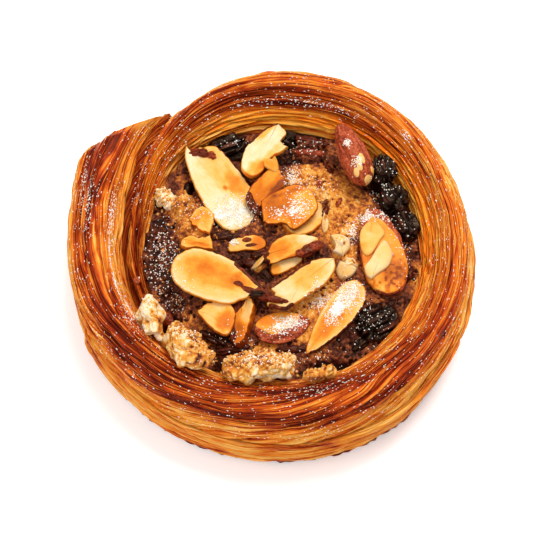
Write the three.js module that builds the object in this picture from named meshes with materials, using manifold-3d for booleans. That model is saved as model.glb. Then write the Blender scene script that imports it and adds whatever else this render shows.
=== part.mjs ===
// Pain aux raisins with almonds, in millimetres, +Z up. A strip of laminated dough is coiled round a
// well of almond filling, and toasted almonds, raisins and lumps of crumble lie on the filling.
// The origin is on the table, under the middle of the coil, and -Y is the front. Every shape starts as
// a three.js cylinder or sphere whose points are moved by a function.
import * as THREE from "three";
import { mergeVertices } from "three/addons/utils/BufferGeometryUtils.js";
import Module from "manifold-3d";

const wasm = await Module();
wasm.setup();

// ---- Driving dimensions

const coilRadius = 47; // outside of the coil, without its loose end
const wallWidth = 12.6;
const wallHeight = 22;
const floorRadius = 40; // the floor's edge is buried in the wall
const floorThickness = 7;
const lowerTier = 1; // how far the lower layers of the outside stand out
const weldHeight = 18; // how far up the loose end is stuck to the turn inside it
const grooveWidth = 1.1; // between the loose end and the turn that passes inside it
const ridgeHeight = 0.32; // of the dough's layers, above and below the wall's smooth form
const fillingEdge = 13.4; // height of the filling where it meets the wall
const fillingDome = 3.4; // how much higher its middle stands
const clearance = 0.3; // between neighbouring pieces
const flakeThickness = 1.5;

// The wall's section. Shares are of its width, from the outside, or of its height.
const section = {
  outerBelly: 0.42, // how high the outside bulges most
  innerBelly: 0.58,
  outerShoulder: 0.72, // under 1 makes the outside's shoulder squarer
  foot: 0.8, // under 1 makes both feet squarer
  tuck: 1.2, // how far the outside's foot is drawn in, in millimetres
  foldPlace: 0.26, // of the fold between the top's two ridges
  foldWidth: 0.1,
  leanFrom: 0.35, // from where the top falls towards the turn inside it
};

// The coil's run: turn is in degrees, anticlockwise from the right; radius, width and height are
// shares of the driving dimensions. valley is how deep the top is folded between its two ridges, and
// lean how far it falls towards the turn inside it, in millimetres. inside is how the inner side
// falls: under 1 it keeps its shoulder, over 1 it slopes.
const coilStations = [
  { turn: 124, radius: 1.17, width: 1, height: 0.93, valley: 1.3, inside: 0.5, lean: 0.5 },
  { turn: 148, radius: 1.118, width: 1, height: 0.93, valley: 1.5, inside: 0.55, lean: 1.5 },
  { turn: 156, radius: 1.075, width: 1, height: 0.95, valley: 1.6, inside: 0.6, lean: 2.2 },
  { turn: 165, radius: 1.03, width: 1, height: 0.98, valley: 1.5, inside: 0.62, lean: 3.2 },
  { turn: 176, radius: 1.0, width: 1, height: 1, valley: 1.2, inside: 0.64, lean: 4.2 },
  { turn: 190, radius: 0.982, width: 1, height: 1, valley: 0.8, inside: 0.68, lean: 4.6 },
  { turn: 203, radius: 0.974, width: 1, height: 1, valley: 0.3, inside: 0.8, lean: 4.4 },
  { turn: 225, radius: 0.96, width: 1.04, height: 1, valley: 0, inside: 1.2, lean: 0 },
  { turn: 250, radius: 0.961, width: 1.08, height: 1, valley: 0, inside: 1.2, lean: 0 },
  { turn: 270, radius: 0.975, width: 1.14, height: 1, valley: 0, inside: 1.2, lean: 0 },
  { turn: 295, radius: 0.993, width: 1.12, height: 1.02, valley: 0, inside: 1.2, lean: 0 },
  { turn: 320, radius: 0.992, width: 1.06, height: 1.02, valley: 0, inside: 1.25, lean: 0 },
  { turn: 350, radius: 0.99, width: 0.98, height: 0.98, valley: 0, inside: 1.3, lean: 0 },
  { turn: 375, radius: 0.993, width: 0.98, height: 0.98, valley: 0, inside: 1.35, lean: 0 },
  { turn: 405, radius: 1.018, width: 1.06, height: 1, valley: 0, inside: 1.4, lean: 0 },
  { turn: 440, radius: 1.034, width: 1.2, height: 1, valley: 0, inside: 1.4, lean: 0 },
  { turn: 462, radius: 1.01, width: 1.16, height: 1, valley: 0, inside: 1.3, lean: 0 },
  { turn: 475, radius: 0.952, width: 0.96, height: 0.98, valley: 0, inside: 1.2, lean: 0 },
  { turn: 486, radius: 0.895, width: 0.78, height: 0.96, valley: 0, inside: 1.1, lean: 0 },
  { turn: 498, radius: 0.845, width: 0.65, height: 0.9, valley: 0, inside: 1.1, lean: 0 },
  { turn: 512, radius: 0.775, width: 0.5, height: 0.83, valley: 0, inside: 1.1, lean: 0 },
  { turn: 528, radius: 0.725, width: 0.4, height: 0.76, valley: 0, inside: 1.1, lean: 0 },
  { turn: 548, radius: 0.7, width: 0.36, height: 0.68, valley: 0, inside: 1.1, lean: 0 },
  { turn: 574, radius: 0.67, width: 0.34, height: 0.5, valley: 0, inside: 1.1, lean: 0 },
];
// The loose end is cut straight down, through these two points of the plan.
const looseEndCut = { from: [-45, 26], to: [-25, 35.8] };
const looseEndTurn = coilStations[0].turn;
const innerEndTurn = coilStations[coilStations.length - 1].turn;
const lastOverlap = 212; // up to this turn, another turn passes inside the wall

// Almond slices from the lowest to the highest: place of the middle, direction of the point, tilts
// along and across, and size. broken is how far from the middle the slice is snapped off, as a share
// of half its length, and cup is how far its long edges bend up.
const flakes = [
  { name: "flake_low", x: -12.5, y: -17.1, heading: -37, length: 9.3, width: 6.3, lift: 0 },
  { name: "flake_under", x: 8.4, y: 8, heading: 30, length: 10.7, width: 7.2, lift: 0, pitch: 5 },
  {
    name: "flake_back", x: -12.6, y: 17.2, heading: 125, length: 25.7, width: 10,
    lift: 1.2, pitch: -7, broken: 0.86,
  },
  {
    name: "flake_curved", x: -2.3, y: 24.3, heading: -124, length: 18.4, width: 6.7,
    lift: 1.4, pitch: -9, broken: 0.66,
  },
  {
    name: "flake_oval", x: -10.8, y: -9, heading: -19, length: 24.2, width: 10.4,
    lift: 1.3, roll: 8, pitch: 3,
  },
  {
    name: "flake_right", x: 14.7, y: -16.5, heading: -127, length: 21.2, width: 8.7,
    lift: 0.9, roll: -9, pitch: 4,
  },
  {
    name: "flake_crossing", x: 6.1, y: -11.1, heading: 222, length: 21.5, width: 8,
    lift: 1.1, pitch: 5, broken: 0.72,
  },
  {
    name: "flake_small", x: 3.6, y: -3.4, heading: 25, length: 7.1, width: 3.1,
    lift: 0.6, roll: 10,
  },
  {
    name: "flake_golden", x: 4.7, y: -1.1, heading: 26, length: 13.7, width: 5.2,
    lift: 1.4, roll: 16,
  },
  {
    name: "flake_sliver", x: -5.5, y: 1.7, heading: 7, length: 8.7, width: 3.4,
    lift: 0.7, roll: 14,
  },
  {
    name: "flake_middle", x: -0.8, y: 16.2, heading: 54, length: 12.5, width: 4.6,
    lift: 1.6, roll: 22, broken: 0.8,
  },
  {
    name: "flake_sugared", x: 3.7, y: 9.5, heading: 14, length: 15.1, width: 10,
    lift: 2.4, pitch: -6, roll: 6, broken: -0.6,
  },
  {
    name: "chip_upper", x: -15.4, y: 7.5, heading: -24, length: 6.4, width: 5.2,
    lift: 0.8, broken: 0.8,
  },
  {
    name: "chip_lower", x: -17.1, y: 2.1, heading: 171, length: 8.1, width: 3.9,
    lift: 0.6, roll: 12, broken: 0.8,
  },
];

// Thick almonds: cutFace is the height of the flat cut as a share of half the thickness, 1 where whole.
const almonds = [
  {
    name: "almond_whole", x: 18.9, y: 22.6, heading: 113, length: 16.6, width: 6.6, thickness: 7,
    lift: 4, pitch: -9, cutFace: 1,
  },
  {
    name: "almond_half", x: 25.4, y: -0.4, heading: 102, length: 21.7, width: 10.6, thickness: 8.4,
    lift: 1.9, pitch: -6, roll: 6, cutFace: 0.12,
  },
  {
    name: "almond_skinned", x: 2.6, y: -19.1, heading: 13, length: 13, width: 6.7, thickness: 8,
    lift: 0.4, roll: 12, cutFace: 0.2,
  },
  {
    name: "almond_chunk", x: -6.8, y: -18.1, heading: -98, length: 11.7, width: 5.2, thickness: 5,
    lift: 1.2, roll: 18, cutFace: 0.3,
  },
];

const raisins = [
  {
    name: "raisin_front", x: 24, y: -17.1, heading: 30, length: 9.3, width: 7.3, thickness: 6.6,
    lift: 0.4,
  },
  {
    name: "raisin_back", x: -10, y: 27.6, heading: 18, length: 9.5, width: 6.7, thickness: 6.4,
    lift: 0.2,
  },
  {
    name: "raisin_top", x: 4, y: 30.1, heading: -20, length: 5.3, width: 3.9, thickness: 5,
    lift: 0,
  },
  {
    name: "raisin_right_a", x: 26, y: 20.2, heading: -65, length: 6.8, width: 5.6, thickness: 6.2,
    lift: 0.3,
  },
  {
    name: "raisin_right_b", x: 28.6, y: 13.5, heading: -59, length: 7.2, width: 6.2, thickness: 6.6,
    lift: 0.4,
  },
  {
    name: "raisin_right_c", x: 31.3, y: 6.6, heading: -67, length: 6.6, width: 5.2, thickness: 5.6,
    lift: 0.2,
  },
];

const crumbles = [
  {
    name: "crumble_left", x: -26.3, y: -19.1, heading: -72, length: 9.5, width: 4.8, thickness: 6,
    lift: 0.8,
  },
  {
    name: "crumble_front_left", x: -18.7, y: -26.5, heading: -36, length: 11.5, width: 7.1, thickness: 6.6,
    lift: 0.6,
  },
  {
    name: "crumble_front", x: -2.6, y: -30.5, heading: 6, length: 15.4, width: 6, thickness: 6.4,
    lift: 0.6,
  },
  {
    name: "crumble_rim", x: 10.7, y: -31.9, heading: 8, length: 7, width: 2.5, thickness: 3,
    lift: 4.2,
  },
  {
    name: "crumble_back_left", x: -25.1, y: 13.6, heading: -47, length: 3.9, width: 3.3, thickness: 4,
    lift: 1.6,
  },
];

// Bits of nut, skin and baked filling, under the size of a berry, which are one with the filling.
const bits = [
  { x: 16, y: 2, heading: -24, length: 5, width: 4.2, thickness: 4 },
  { x: 17.8, y: -3.6, heading: 30, length: 4.6, width: 3.8, thickness: 3.6 },
  { x: -3.2, y: -1.8, heading: 40, length: 3.6, width: 2.8, thickness: 3 },
  { x: -2.6, y: -4.8, heading: 35, length: 3.8, width: 2.4, thickness: 3 },
  { x: 9, y: -0.6, heading: 35, length: 5.4, width: 2.8, thickness: 3 },
  { x: 12.8, y: 7.2, heading: 86, length: 4.4, width: 1.8, thickness: 3 },
  { x: 12.6, y: 11.4, heading: 68, length: 4.4, width: 1.6, thickness: 3 },
  { x: 0.2, y: 22.4, heading: 70, length: 4, width: 2.8, thickness: 3.4 },
  { x: 8.8, y: 25, heading: -5, length: 8.4, width: 2.6, thickness: 3.6 },
  { x: 8.6, y: 28, heading: -3, length: 9.6, width: 3.4, thickness: 4.4 },
  { x: -20.8, y: 11.8, heading: 50, length: 7.4, width: 5.2, thickness: 4.4 },
  { x: -20, y: 6, heading: 80, length: 6.6, width: 5, thickness: 3.6 },
  { x: -23.8, y: -9.6, heading: -60, length: 4.6, width: 2.6, thickness: 3.4 },
  { x: -21.2, y: -15.8, heading: -65, length: 5, width: 2.4, thickness: 4 },
];

const colours = {
  crust: 0xb4571c,
  filling: 0x9c6130,
  almondFlesh: 0xf2c67c,
  almondSkin: 0x8a3d1e,
  raisin: 0x22120d,
  crumble: 0xdba35c,
};

// ---- Numbers

const radians = THREE.MathUtils.degToRad;

// A power that keeps the sign, which makes a circle squarer (under 1) or more pointed (over 1).
const signedPower = (value, power) => Math.sign(value) * Math.abs(value) ** power;

// A station's value at any turn, on a smooth curve through the stations.
function atTurn(key, turn) {
  const last = coilStations.length - 2;
  const after = coilStations.findIndex((station) => station.turn > turn);
  const i = after < 0 ? last : Math.max(0, after - 1);
  const slope = (k) => {
    const a = coilStations[Math.max(0, k - 1)];
    const b = coilStations[Math.min(last + 1, k + 1)];
    return (b[key] - a[key]) / (b.turn - a.turn);
  };
  const [from, to] = [coilStations[i], coilStations[i + 1]];
  const span = to.turn - from.turn;
  const t = THREE.MathUtils.clamp((turn - from.turn) / span, 0, 1);
  const left = (t - 1) ** 2;
  const between = from[key] * left * (1 + 2 * t) + to[key] * t * t * (3 - 2 * t);
  return between + span * (slope(i) * t * left + slope(i + 1) * t * t * (t - 1));
}

// ---- Solids

// A copy of a three.js geometry with each point moved by a function, as one closed surface.
function bent(geometry, move) {
  const bare = new THREE.BufferGeometry();
  bare.setAttribute("position", geometry.getAttribute("position"));
  bare.setIndex(geometry.index);
  const closed = mergeVertices(bare, 1e-4);
  const position = closed.getAttribute("position");
  const point = new THREE.Vector3();
  for (let i = 0; i < position.count; i++) {
    point.fromBufferAttribute(position, i);
    position.setXYZ(i, ...move(point));
  }
  return closed;
}

function solidOf(geometry, matrix = new THREE.Matrix4()) {
  const placed = geometry.clone().applyMatrix4(matrix);
  const mesh = new wasm.Mesh({
    numProp: 3,
    vertProperties: new Float32Array(placed.getAttribute("position").array),
    triVerts: new Uint32Array(placed.index.array),
  });
  return new wasm.Manifold(mesh);
}

function geometryOf(solid) {
  const { vertProperties, triVerts } = solid.getMesh();
  return new THREE.BufferGeometry()
    .setAttribute("position", new THREE.BufferAttribute(vertProperties, 3))
    .setIndex(new THREE.BufferAttribute(triVerts, 1));
}

// The largest piece of a cut solid, without the scraps and the shortest edges that cutting leaves.
function mainPiece(solid, tolerance) {
  const pieces = solid.simplify(tolerance).decompose();
  return pieces.sort((a, b) => b.volume() - a.volume())[0];
}

// A finished mesh, named and coloured.
function meshOf(name, geometry, colour, roughness) {
  geometry.computeVertexNormals();
  const material = new THREE.MeshStandardMaterial({ color: colour, roughness, metalness: 0 });
  const mesh = new THREE.Mesh(geometry, material);
  mesh.name = name;
  return mesh;
}

// ---- The coil

// The wall's width: full where it stands alone, and up to the next turn where one passes inside it.
function wallWidthAt(turn) {
  const width = wallWidth * atTurn("width", turn);
  if (turn > lastOverlap) return width;
  const free = coilRadius * (atTurn("radius", turn) - atTurn("radius", turn + 360)) - grooveWidth;
  return Math.min(free, 1.12 * width);
}

// How far the layers stand out from the wall's smooth form: every other line of points is a ridge,
// and below a seam the outside is one tier further out, from a lip behind the loose end.
function layerRelief(layer, turn, around) {
  const { smoothstep } = THREE.MathUtils;
  const onTop = smoothstep(Math.sin(around), -0.3, 0.2);
  const wander = 0.75 + 0.25 * Math.sin(2.4 * layer + turn / 28);
  const tierRun = smoothstep(turn, 202, 206) * (1 - smoothstep(turn, 300, 380));
  const belowTop = 1 - smoothstep(Math.sin(around), 0.2, 0.36);
  const belowSeam = smoothstep(Math.cos(around), 0.3, 0.6) * belowTop;
  return (layer % 2 ? 1 : -1) * ridgeHeight * wander * onTop + lowerTier * tierRun * belowSeam;
}

// A point of the wall: around goes from 0 at the outside over the top and down the inside to the
// underside, and reach from 0 in the section's middle to 1 on its surface.
function wallPoint(turn, around, reach, proud) {
  const width = wallWidthAt(turn);
  const height = wallHeight * atTurn("height", turn);
  const [across, up] = [Math.cos(around), Math.sin(around)];
  const outside = across > 0;
  const middle = height * (outside ? section.outerBelly : section.innerBelly);
  const power = outside ? section.outerShoulder : atTurn("inside", turn);
  const foot = 1.2 * middle * Math.abs(up) ** section.foot; // reaches below the table, where it is cut flat
  const rise = up > 0 ? up ** power * (height - middle) : -foot;
  const side = signedPower(across, power);
  const tuck = up < 0 && outside ? section.tuck * up * up * across : 0;
  const inward = (width / 2) * (1 - reach * side) + reach * (tuck - proud * across);
  const share = inward / width;
  const fold = atTurn("valley", turn) * Math.exp(-(((share - section.foldPlace) / section.foldWidth) ** 2));
  const fall = atTurn("lean", turn) * THREE.MathUtils.smoothstep(share, section.leanFrom, 1.1);
  const sink = up > 0 ? up ** 0.4 * (fold + fall) : 0;
  const z = middle + reach * (rise + proud * Math.max(up, 0) - sink);
  const radius = coilRadius * atTurn("radius", turn) - inward;
  return [radius * Math.cos(radians(turn)), radius * Math.sin(radians(turn)), Math.max(0, z)];
}

// The coiled strip, with its layers as ridges along it.
function coil() {
  const pointsAround = 34;
  const steps = 88;
  const tube = new THREE.CylinderGeometry(1, 1, 1, pointsAround, steps);
  const geometry = bent(tube, ({ x, y, z }) => {
    const around = Math.atan2(x, z);
    const turn = innerEndTurn + (looseEndTurn - innerEndTurn) * (y + 0.5);
    const layer = Math.round((around / (2 * Math.PI)) * pointsAround);
    return wallPoint(turn, around, Math.hypot(x, z), layerRelief(layer, turn, around));
  });
  return solidOf(geometry).subtract(beyondLooseEnd());
}

// A block whose front face is the cut of the loose end. It stops just past the cut's inner point.
function beyondLooseEnd() {
  const [from, to] = [looseEndCut.from, looseEndCut.to];
  const [long, deep] = [60, 30];
  const box = new THREE.BoxGeometry(long, deep, 3 * wallHeight);
  const block = bent(box, ({ x, y, z }) => [x, y, z]);
  const cutLength = Math.hypot(to[0] - from[0], to[1] - from[1]);
  const aside = new THREE.Matrix4().makeTranslation(cutLength + 1.5 - long / 2, deep / 2, 0);
  const heading = Math.atan2(to[1] - from[1], to[0] - from[0]);
  const turned = new THREE.Matrix4().makeRotationZ(heading).setPosition(from[0], from[1], 0);
  return solidOf(block, turned.multiply(aside));
}

// Where the loose end lies against the turn inside it, the two have baked together below this weld.
function weld() {
  const tube = new THREE.CylinderGeometry(1, 1, 1, 8, 24);
  const geometry = bent(tube, ({ x, y, z }) => {
    const turn = lastOverlap + (looseEndTurn - lastOverlap) * (y + 0.5);
    const radius = coilRadius * atTurn("radius", turn + 360) + grooveWidth / 2 + 1.6 * z;
    const height = atTurn("height", turn + 360) * weldHeight;
    return [radius * Math.cos(radians(turn)), radius * Math.sin(radians(turn)), (height * (x + 1)) / 2];
  });
  return solidOf(geometry).subtract(beyondLooseEnd());
}

function floor() {
  const disc = new THREE.CylinderGeometry(floorRadius, floorRadius, floorThickness, 72);
  const flat = bent(disc, ({ x, y, z }) => [z, x, y + floorThickness / 2]);
  return solidOf(flat);
}

// ---- The filling

// The radius of the well, up to the innermost turn at that angle, and past its end up to the next.
function wellRadius(angle) {
  const gap = ridgeHeight + clearance;
  const inside = (turn) => coilRadius * atTurn("radius", turn) - wallWidthAt(turn) - gap;
  const past = THREE.MathUtils.smoothstep(angle + 360, innerEndTurn + 6, innerEndTurn + 18);
  if (past === 0) return inside(angle + 360);
  return THREE.MathUtils.lerp(inside(innerEndTurn), inside(angle), past);
}

// The baked surface: a low dome with soft crags.
function fillingHeight(x, y) {
  const out = Math.min(1, Math.hypot(x, y) / (coilRadius - wallWidth));
  const crags = Math.sin(x / 2.3 + 1.2) * Math.cos(y / 2.9) + 0.7 * Math.sin((x - y) / 4.1 + 0.5);
  return fillingEdge + fillingDome * (1 - out * out) + 0.35 * crags;
}

// The filling before its bits are joined on and the toppings' beds are cut out.
function fillingBody() {
  const rings = 16;
  const ball = new THREE.SphereGeometry(1, 42, rings);
  const underside = floorThickness + clearance;
  const geometry = bent(ball, ({ x, y, z }) => {
    const angle = (THREE.MathUtils.radToDeg(Math.atan2(x, z)) + 360) % 360;
    const ring = Math.round((rings * Math.acos(THREE.MathUtils.clamp(y, -1, 1))) / Math.PI);
    const toEdge = Math.min(ring, rings - ring) / (rings / 2 - 1);
    const radius = wellRadius(angle) * Math.min(1, toEdge);
    const [px, py] = [radius * Math.cos(radians(angle)), radius * Math.sin(radians(angle))];
    const top = fillingHeight(px, py);
    if (ring === rings / 2) return [px, py, (top + underside) / 2];
    return [px, py, ring < rings / 2 ? top : underside];
  });
  return solidOf(geometry);
}

// ---- The toppings, each made round its own middle with its length along X

// An almond slice: a thin plate with an almond's outline, snapped off straight where it is broken.
function flakeGeometry(flake, grow = 0, lines = flake.length > 12 ? 18 : 14) {
  const plate = new THREE.SphereGeometry(1, lines, lines > 12 ? 6 : 4);
  const half = { length: flake.length / 2 + grow, width: flake.width / 2 + grow };
  const halfThickness = flakeThickness / 2 + grow;
  return bent(plate, ({ x, y, z }) => {
    const angle = Math.atan2(x, z);
    const fromTop = Math.acos(THREE.MathUtils.clamp(y, -1, 1)) / (Math.PI / 2);
    const toEdge = fromTop < 1 ? fromTop : 2 - fromTop;
    const share = Math.min(1, 1.42 * toEdge - 0.42 * toEdge ** 3);
    const pointed = 1 + 0.35 * Math.max(0, Math.cos(angle));
    const taper = 1.04 - 0.2 * Math.cos(angle);
    let along = half.length * Math.cos(angle);
    const across = half.width * signedPower(Math.sin(angle), pointed) * taper;
    const snap = (flake.broken ?? 0) * half.length;
    const jag = 0.05 * flake.width * Math.sin(angle * 9);
    if (snap > 0) along = Math.min(along, snap + jag);
    if (snap < 0) along = Math.max(along, snap + jag);
    const up = toEdge < 0.99 ? Math.sign(1 - fromTop) * halfThickness : 0;
    const bend = 0.035 * flake.width * (across / half.width) ** 2 * share * share;
    return [along * share, across * share, up * (1 - 0.25 * share ** 6) + bend];
  });
}

// A whole almond, or what is left of one below a flat cut.
function almondGeometry(almond, grow = 0, lines = 16) {
  const ball = new THREE.SphereGeometry(1, lines, Math.round(0.55 * lines));
  const cut = (almond.cutFace * almond.thickness) / 2 + grow;
  return bent(ball, ({ x, y, z }) => {
    const taper = 1.06 - 0.24 * y;
    const groove = 1 + 0.03 * Math.cos(8 * Math.atan2(x, z));
    const along = y * (almond.length / 2 + grow);
    const across = z * (almond.width / 2 + grow) * taper * groove;
    const up = x * (almond.thickness / 2 + grow) * taper * groove;
    return [along, across, Math.min(up, cut)];
  });
}

// A raisin: a flattened ball with deep wrinkles along it.
function raisinGeometry(raisin, grow = 0, lines = 14) {
  const ball = new THREE.SphereGeometry(1, lines, Math.round(0.55 * lines));
  const seed = raisin.x + raisin.y;
  return bent(ball, ({ x, y, z }) => {
    const around = Math.atan2(x, z);
    const fold = 1 + 0.09 * Math.sin(7 * around + 2 * y + seed) * (1 - y ** 4);
    const along = y * (raisin.length / 2 + grow);
    const across = z * (raisin.width / 2 + grow) * fold;
    return [along, across, x * (raisin.thickness / 2 + grow) * fold];
  });
}

// A lump of crumble or a bit of nut: a ball with a few blunt corners.
function lumpGeometry(lump, grow = 0, lines = 11) {
  const corners = 0.14;
  const ball = new THREE.SphereGeometry(1, lines, Math.round(0.6 * lines));
  const seed = lump.length + 3 * lump.x;
  return bent(ball, ({ x, y, z }) => {
    const knobs = Math.sin(3.1 * x + seed) * Math.cos(3.7 * y + 2 * seed) + Math.sin(4.3 * z - seed);
    const swell = 1 + 0.5 * corners * knobs;
    const along = signedPower(y, 0.85) * (lump.length / 2 + grow) * swell;
    const across = signedPower(z, 0.85) * (lump.width / 2 + grow) * swell;
    return [along, across, x * (lump.thickness / 2 + grow) * swell];
  });
}

// ---- Putting it together

const group = new THREE.Group();
const settled = []; // the pieces in place, each with the coarser, larger form of its bed in the filling
const bitLines = 7;
const bedLines = 10;
const bedSlack = 0.7; // as a coarse form cuts inside a fine one

// How a topping lies: turned about Z last, so that pitch and roll are along and across its length.
function placement({ x, y, heading, pitch = 0, roll = 0 }, z) {
  const turn = new THREE.Euler(radians(roll), radians(pitch), radians(heading), "ZYX");
  const matrix = new THREE.Matrix4().makeRotationFromEuler(turn);
  return { turn, matrix: matrix.setPosition(x, y, z) };
}

// Lays a topping on the filling, raised until it clears the pieces below it.
function settle(topping, shape, colour, roughness) {
  const liftStep = 0.25;
  const grown = shape(topping, clearance);
  const touches = (z) => {
    const here = solidOf(grown, placement(topping, z).matrix);
    return settled.some((other) => here.intersect(other.bare).volume() > 0);
  };
  let z = fillingHeight(topping.x, topping.y) + topping.lift;
  while (touches(z)) z += liftStep;
  const { turn, matrix } = placement(topping, z);
  const geometry = shape(topping);
  const bed = shape(topping, clearance + bedSlack, bedLines);
  settled.push({ bare: solidOf(geometry, matrix), bed: solidOf(bed, matrix) });
  const mesh = meshOf(topping.name, geometry, colour, roughness);
  mesh.rotation.copy(turn);
  mesh.position.set(topping.x, topping.y, z);
  group.add(mesh);
}

const pastry = coil().add(weld()).add(floor());
settled.push({ bare: pastry });
group.add(meshOf("pastry", geometryOf(mainPiece(pastry, 0.04)), colours.crust, 0.5));

raisins.forEach((raisin) => settle(raisin, raisinGeometry, colours.raisin, 0.35));
crumbles.forEach((lump) => settle(lump, lumpGeometry, colours.crumble, 0.85));
almonds.forEach((almond) => {
  const colour = almond.cutFace < 1 ? colours.almondFlesh : colours.almondSkin;
  settle(almond, almondGeometry, colour, 0.6);
});
flakes.forEach((flake) => settle(flake, flakeGeometry, colours.almondFlesh, 0.5));

let filling = fillingBody();
for (const bit of bits) {
  const { matrix } = placement(bit, fillingHeight(bit.x, bit.y) + 0.2 * bit.thickness);
  filling = filling.add(solidOf(lumpGeometry(bit, 0, bitLines), matrix));
}
for (const { bed } of settled.slice(1)) filling = filling.subtract(bed);
group.add(meshOf("filling", geometryOf(mainPiece(filling, 0.07)), colours.filling, 0.8));

export default group;
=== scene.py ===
import itertools
import math

import bmesh
import bpy
import numpy as np
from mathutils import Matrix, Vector
from mathutils.bvhtree import BVHTree
from mathutils.kdtree import KDTree


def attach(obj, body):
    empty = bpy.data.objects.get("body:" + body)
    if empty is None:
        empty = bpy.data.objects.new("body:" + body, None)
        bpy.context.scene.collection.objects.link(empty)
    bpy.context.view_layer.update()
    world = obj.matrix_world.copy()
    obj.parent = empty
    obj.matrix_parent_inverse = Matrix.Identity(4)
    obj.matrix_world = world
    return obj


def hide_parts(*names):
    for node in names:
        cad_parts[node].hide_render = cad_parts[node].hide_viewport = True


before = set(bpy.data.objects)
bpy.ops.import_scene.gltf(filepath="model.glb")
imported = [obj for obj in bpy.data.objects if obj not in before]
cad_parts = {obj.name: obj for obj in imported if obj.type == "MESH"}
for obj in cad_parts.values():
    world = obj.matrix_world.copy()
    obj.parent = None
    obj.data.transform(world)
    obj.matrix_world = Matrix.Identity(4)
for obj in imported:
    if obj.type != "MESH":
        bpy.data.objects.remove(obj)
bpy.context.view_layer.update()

mm = 0.001  # shapes are worked out in millimetres and stored in metres


# Numbers and patterns

def smooth(value, low, high):  # 0 below low, 1 above high
    t = np.clip((value - low) / (high - low), 0, 1)
    return t * t * (3 - 2 * t)


def bump(value, middle, spread):  # 1 at the middle, falling off on both sides
    return np.exp(-((value - middle) / spread) ** 2)


def signedPower(value, power):
    return np.sign(value) * np.abs(value) ** power


def vectors(x, y=0.0, z=0.0):  # one vector for each point, from its three parts
    return np.stack(np.broadcast_arrays(x, y, z), axis=-1)


def polar(radius, bearing):  # x and y at a distance from the middle and a bearing in radians
    return radius * np.cos(bearing), radius * np.sin(bearing)


def hashed(cell, seed):  # a repeatable random number from 0 to 1 for each whole-number cell
    key = cell[..., 0] * 73856093 ^ cell[..., 1] * 19349663 ^ cell[..., 2] * 83492791 ^ seed * 2654435
    key = (key ^ (key >> 13)) * 1274126177
    return ((key ^ (key >> 16)) & 65535) / 65535


def swell(points, size, seed):
    # soft random lumps from -1 to 1; size is one lump in the points' units, one number or one per axis
    grid = points / size
    cell = np.floor(grid).astype(np.int64)
    part = grid - cell
    part = part * part * (3 - 2 * part)
    total = 0
    for corner in itertools.product((0, 1), repeat=3):
        weight = np.prod(np.where(corner, part, 1 - part), axis=-1)
        total = total + weight * hashed(cell + np.array(corner), seed)
    return 2 * total - 1


def roughly(points, size, seed):  # soft lumps with two finer kinds on them, each half as large and high
    total = 0
    for octave in range(3):
        total = total + 0.5 ** octave * swell(points, np.array(size) / 2 ** octave, seed + octave)
    return total / 1.6


def warped(points, far, size, seed):  # the points, each strayed a little, by up to far
    return points + far * np.stack([swell(points, size, seed + k) for k in range(3)], axis=-1)


def grains(points, size, seed):
    # packed crumbs: distance to the nearest grain's middle, to the border with the next, and its number
    grid = points / size
    cell = np.floor(grid).astype(np.int64)
    nearest = np.full(grid.shape[:-1], 9.0)
    second = nearest.copy()
    name = np.zeros(grid.shape[:-1])
    for step in itertools.product((-1, 0, 1), repeat=3):
        here = cell + np.array(step)
        middle = here + np.stack([hashed(here, seed + k) for k in range(3)], axis=-1)
        away = np.linalg.norm(grid - middle, axis=-1)
        closer = away < nearest
        second = np.where(closer, nearest, np.minimum(second, away))
        name = np.where(closer, hashed(here, seed + 7), name)
        nearest = np.minimum(nearest, away)
    return nearest, second - nearest, name


# Meshes

def makePiece(name, points, faces, fields=None):
    # a mesh object from points in millimetres; faces are arrays of quads or triangles, and fields are
    # numbers or vectors stored on the points
    mesh = bpy.data.meshes.new(name)
    points = np.asarray(points, float).reshape(-1, 3)
    sizes = np.concatenate([np.full(len(part), part.shape[1]) for part in faces])
    corners = np.concatenate([part.ravel() for part in faces])
    mesh.vertices.add(len(points))
    mesh.vertices.foreach_set("co", (points * mm).ravel())
    mesh.loops.add(len(corners))
    mesh.loops.foreach_set("vertex_index", corners)
    mesh.polygons.add(len(sizes))
    mesh.polygons.foreach_set("loop_start", np.concatenate([[0], np.cumsum(sizes)[:-1]]))
    mesh.update(calc_edges=True)
    mesh.shade_smooth()
    piece = bpy.data.objects.new(name, mesh)
    bpy.context.scene.collection.objects.link(piece)
    storeFields(piece, fields or {})
    return piece


def storeFields(piece, fields):
    for name, values in fields.items():
        values = np.asarray(values, np.float32)
        flat = values.reshape(len(piece.data.vertices), -1)
        kind, slot = ("FLOAT_VECTOR", "vector") if flat.shape[1] == 3 else ("FLOAT", "value")
        layer = piece.data.attributes.new(name, kind, "POINT")
        layer.data.foreach_set(slot, flat.ravel())


def pointsOf(mesh):
    flat = np.empty(3 * len(mesh.vertices))
    mesh.vertices.foreach_get("co", flat)
    return flat.reshape(-1, 3) / mm


def normalsOf(mesh):
    flat = np.empty(3 * len(mesh.vertices))
    mesh.vertex_normals.foreach_get("vector", flat)
    return flat.reshape(-1, 3)


def movePoints(piece, points):
    piece.data.vertices.foreach_set("co", (points * mm).ravel())
    piece.data.update()


def dress(piece, node, material):  # its material, and the node it stands for, if any
    piece.data.materials.clear()
    piece.data.materials.append(material)
    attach(piece, "root")
    if node:
        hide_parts(node)


def joinedParts(parts):  # several closed bodies as the points, faces and fields of one mesh
    points, faces, fields, first = [], [], {}, 0
    for somePoints, someFaces, someFields in parts:
        faces += [part + first for part in someFaces]
        points.append(somePoints)
        first += len(somePoints)
        for name, values in someFields.items():
            fields.setdefault(name, []).append(values)
    return np.concatenate(points), faces, {name: np.concatenate(v) for name, v in fields.items()}


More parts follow.
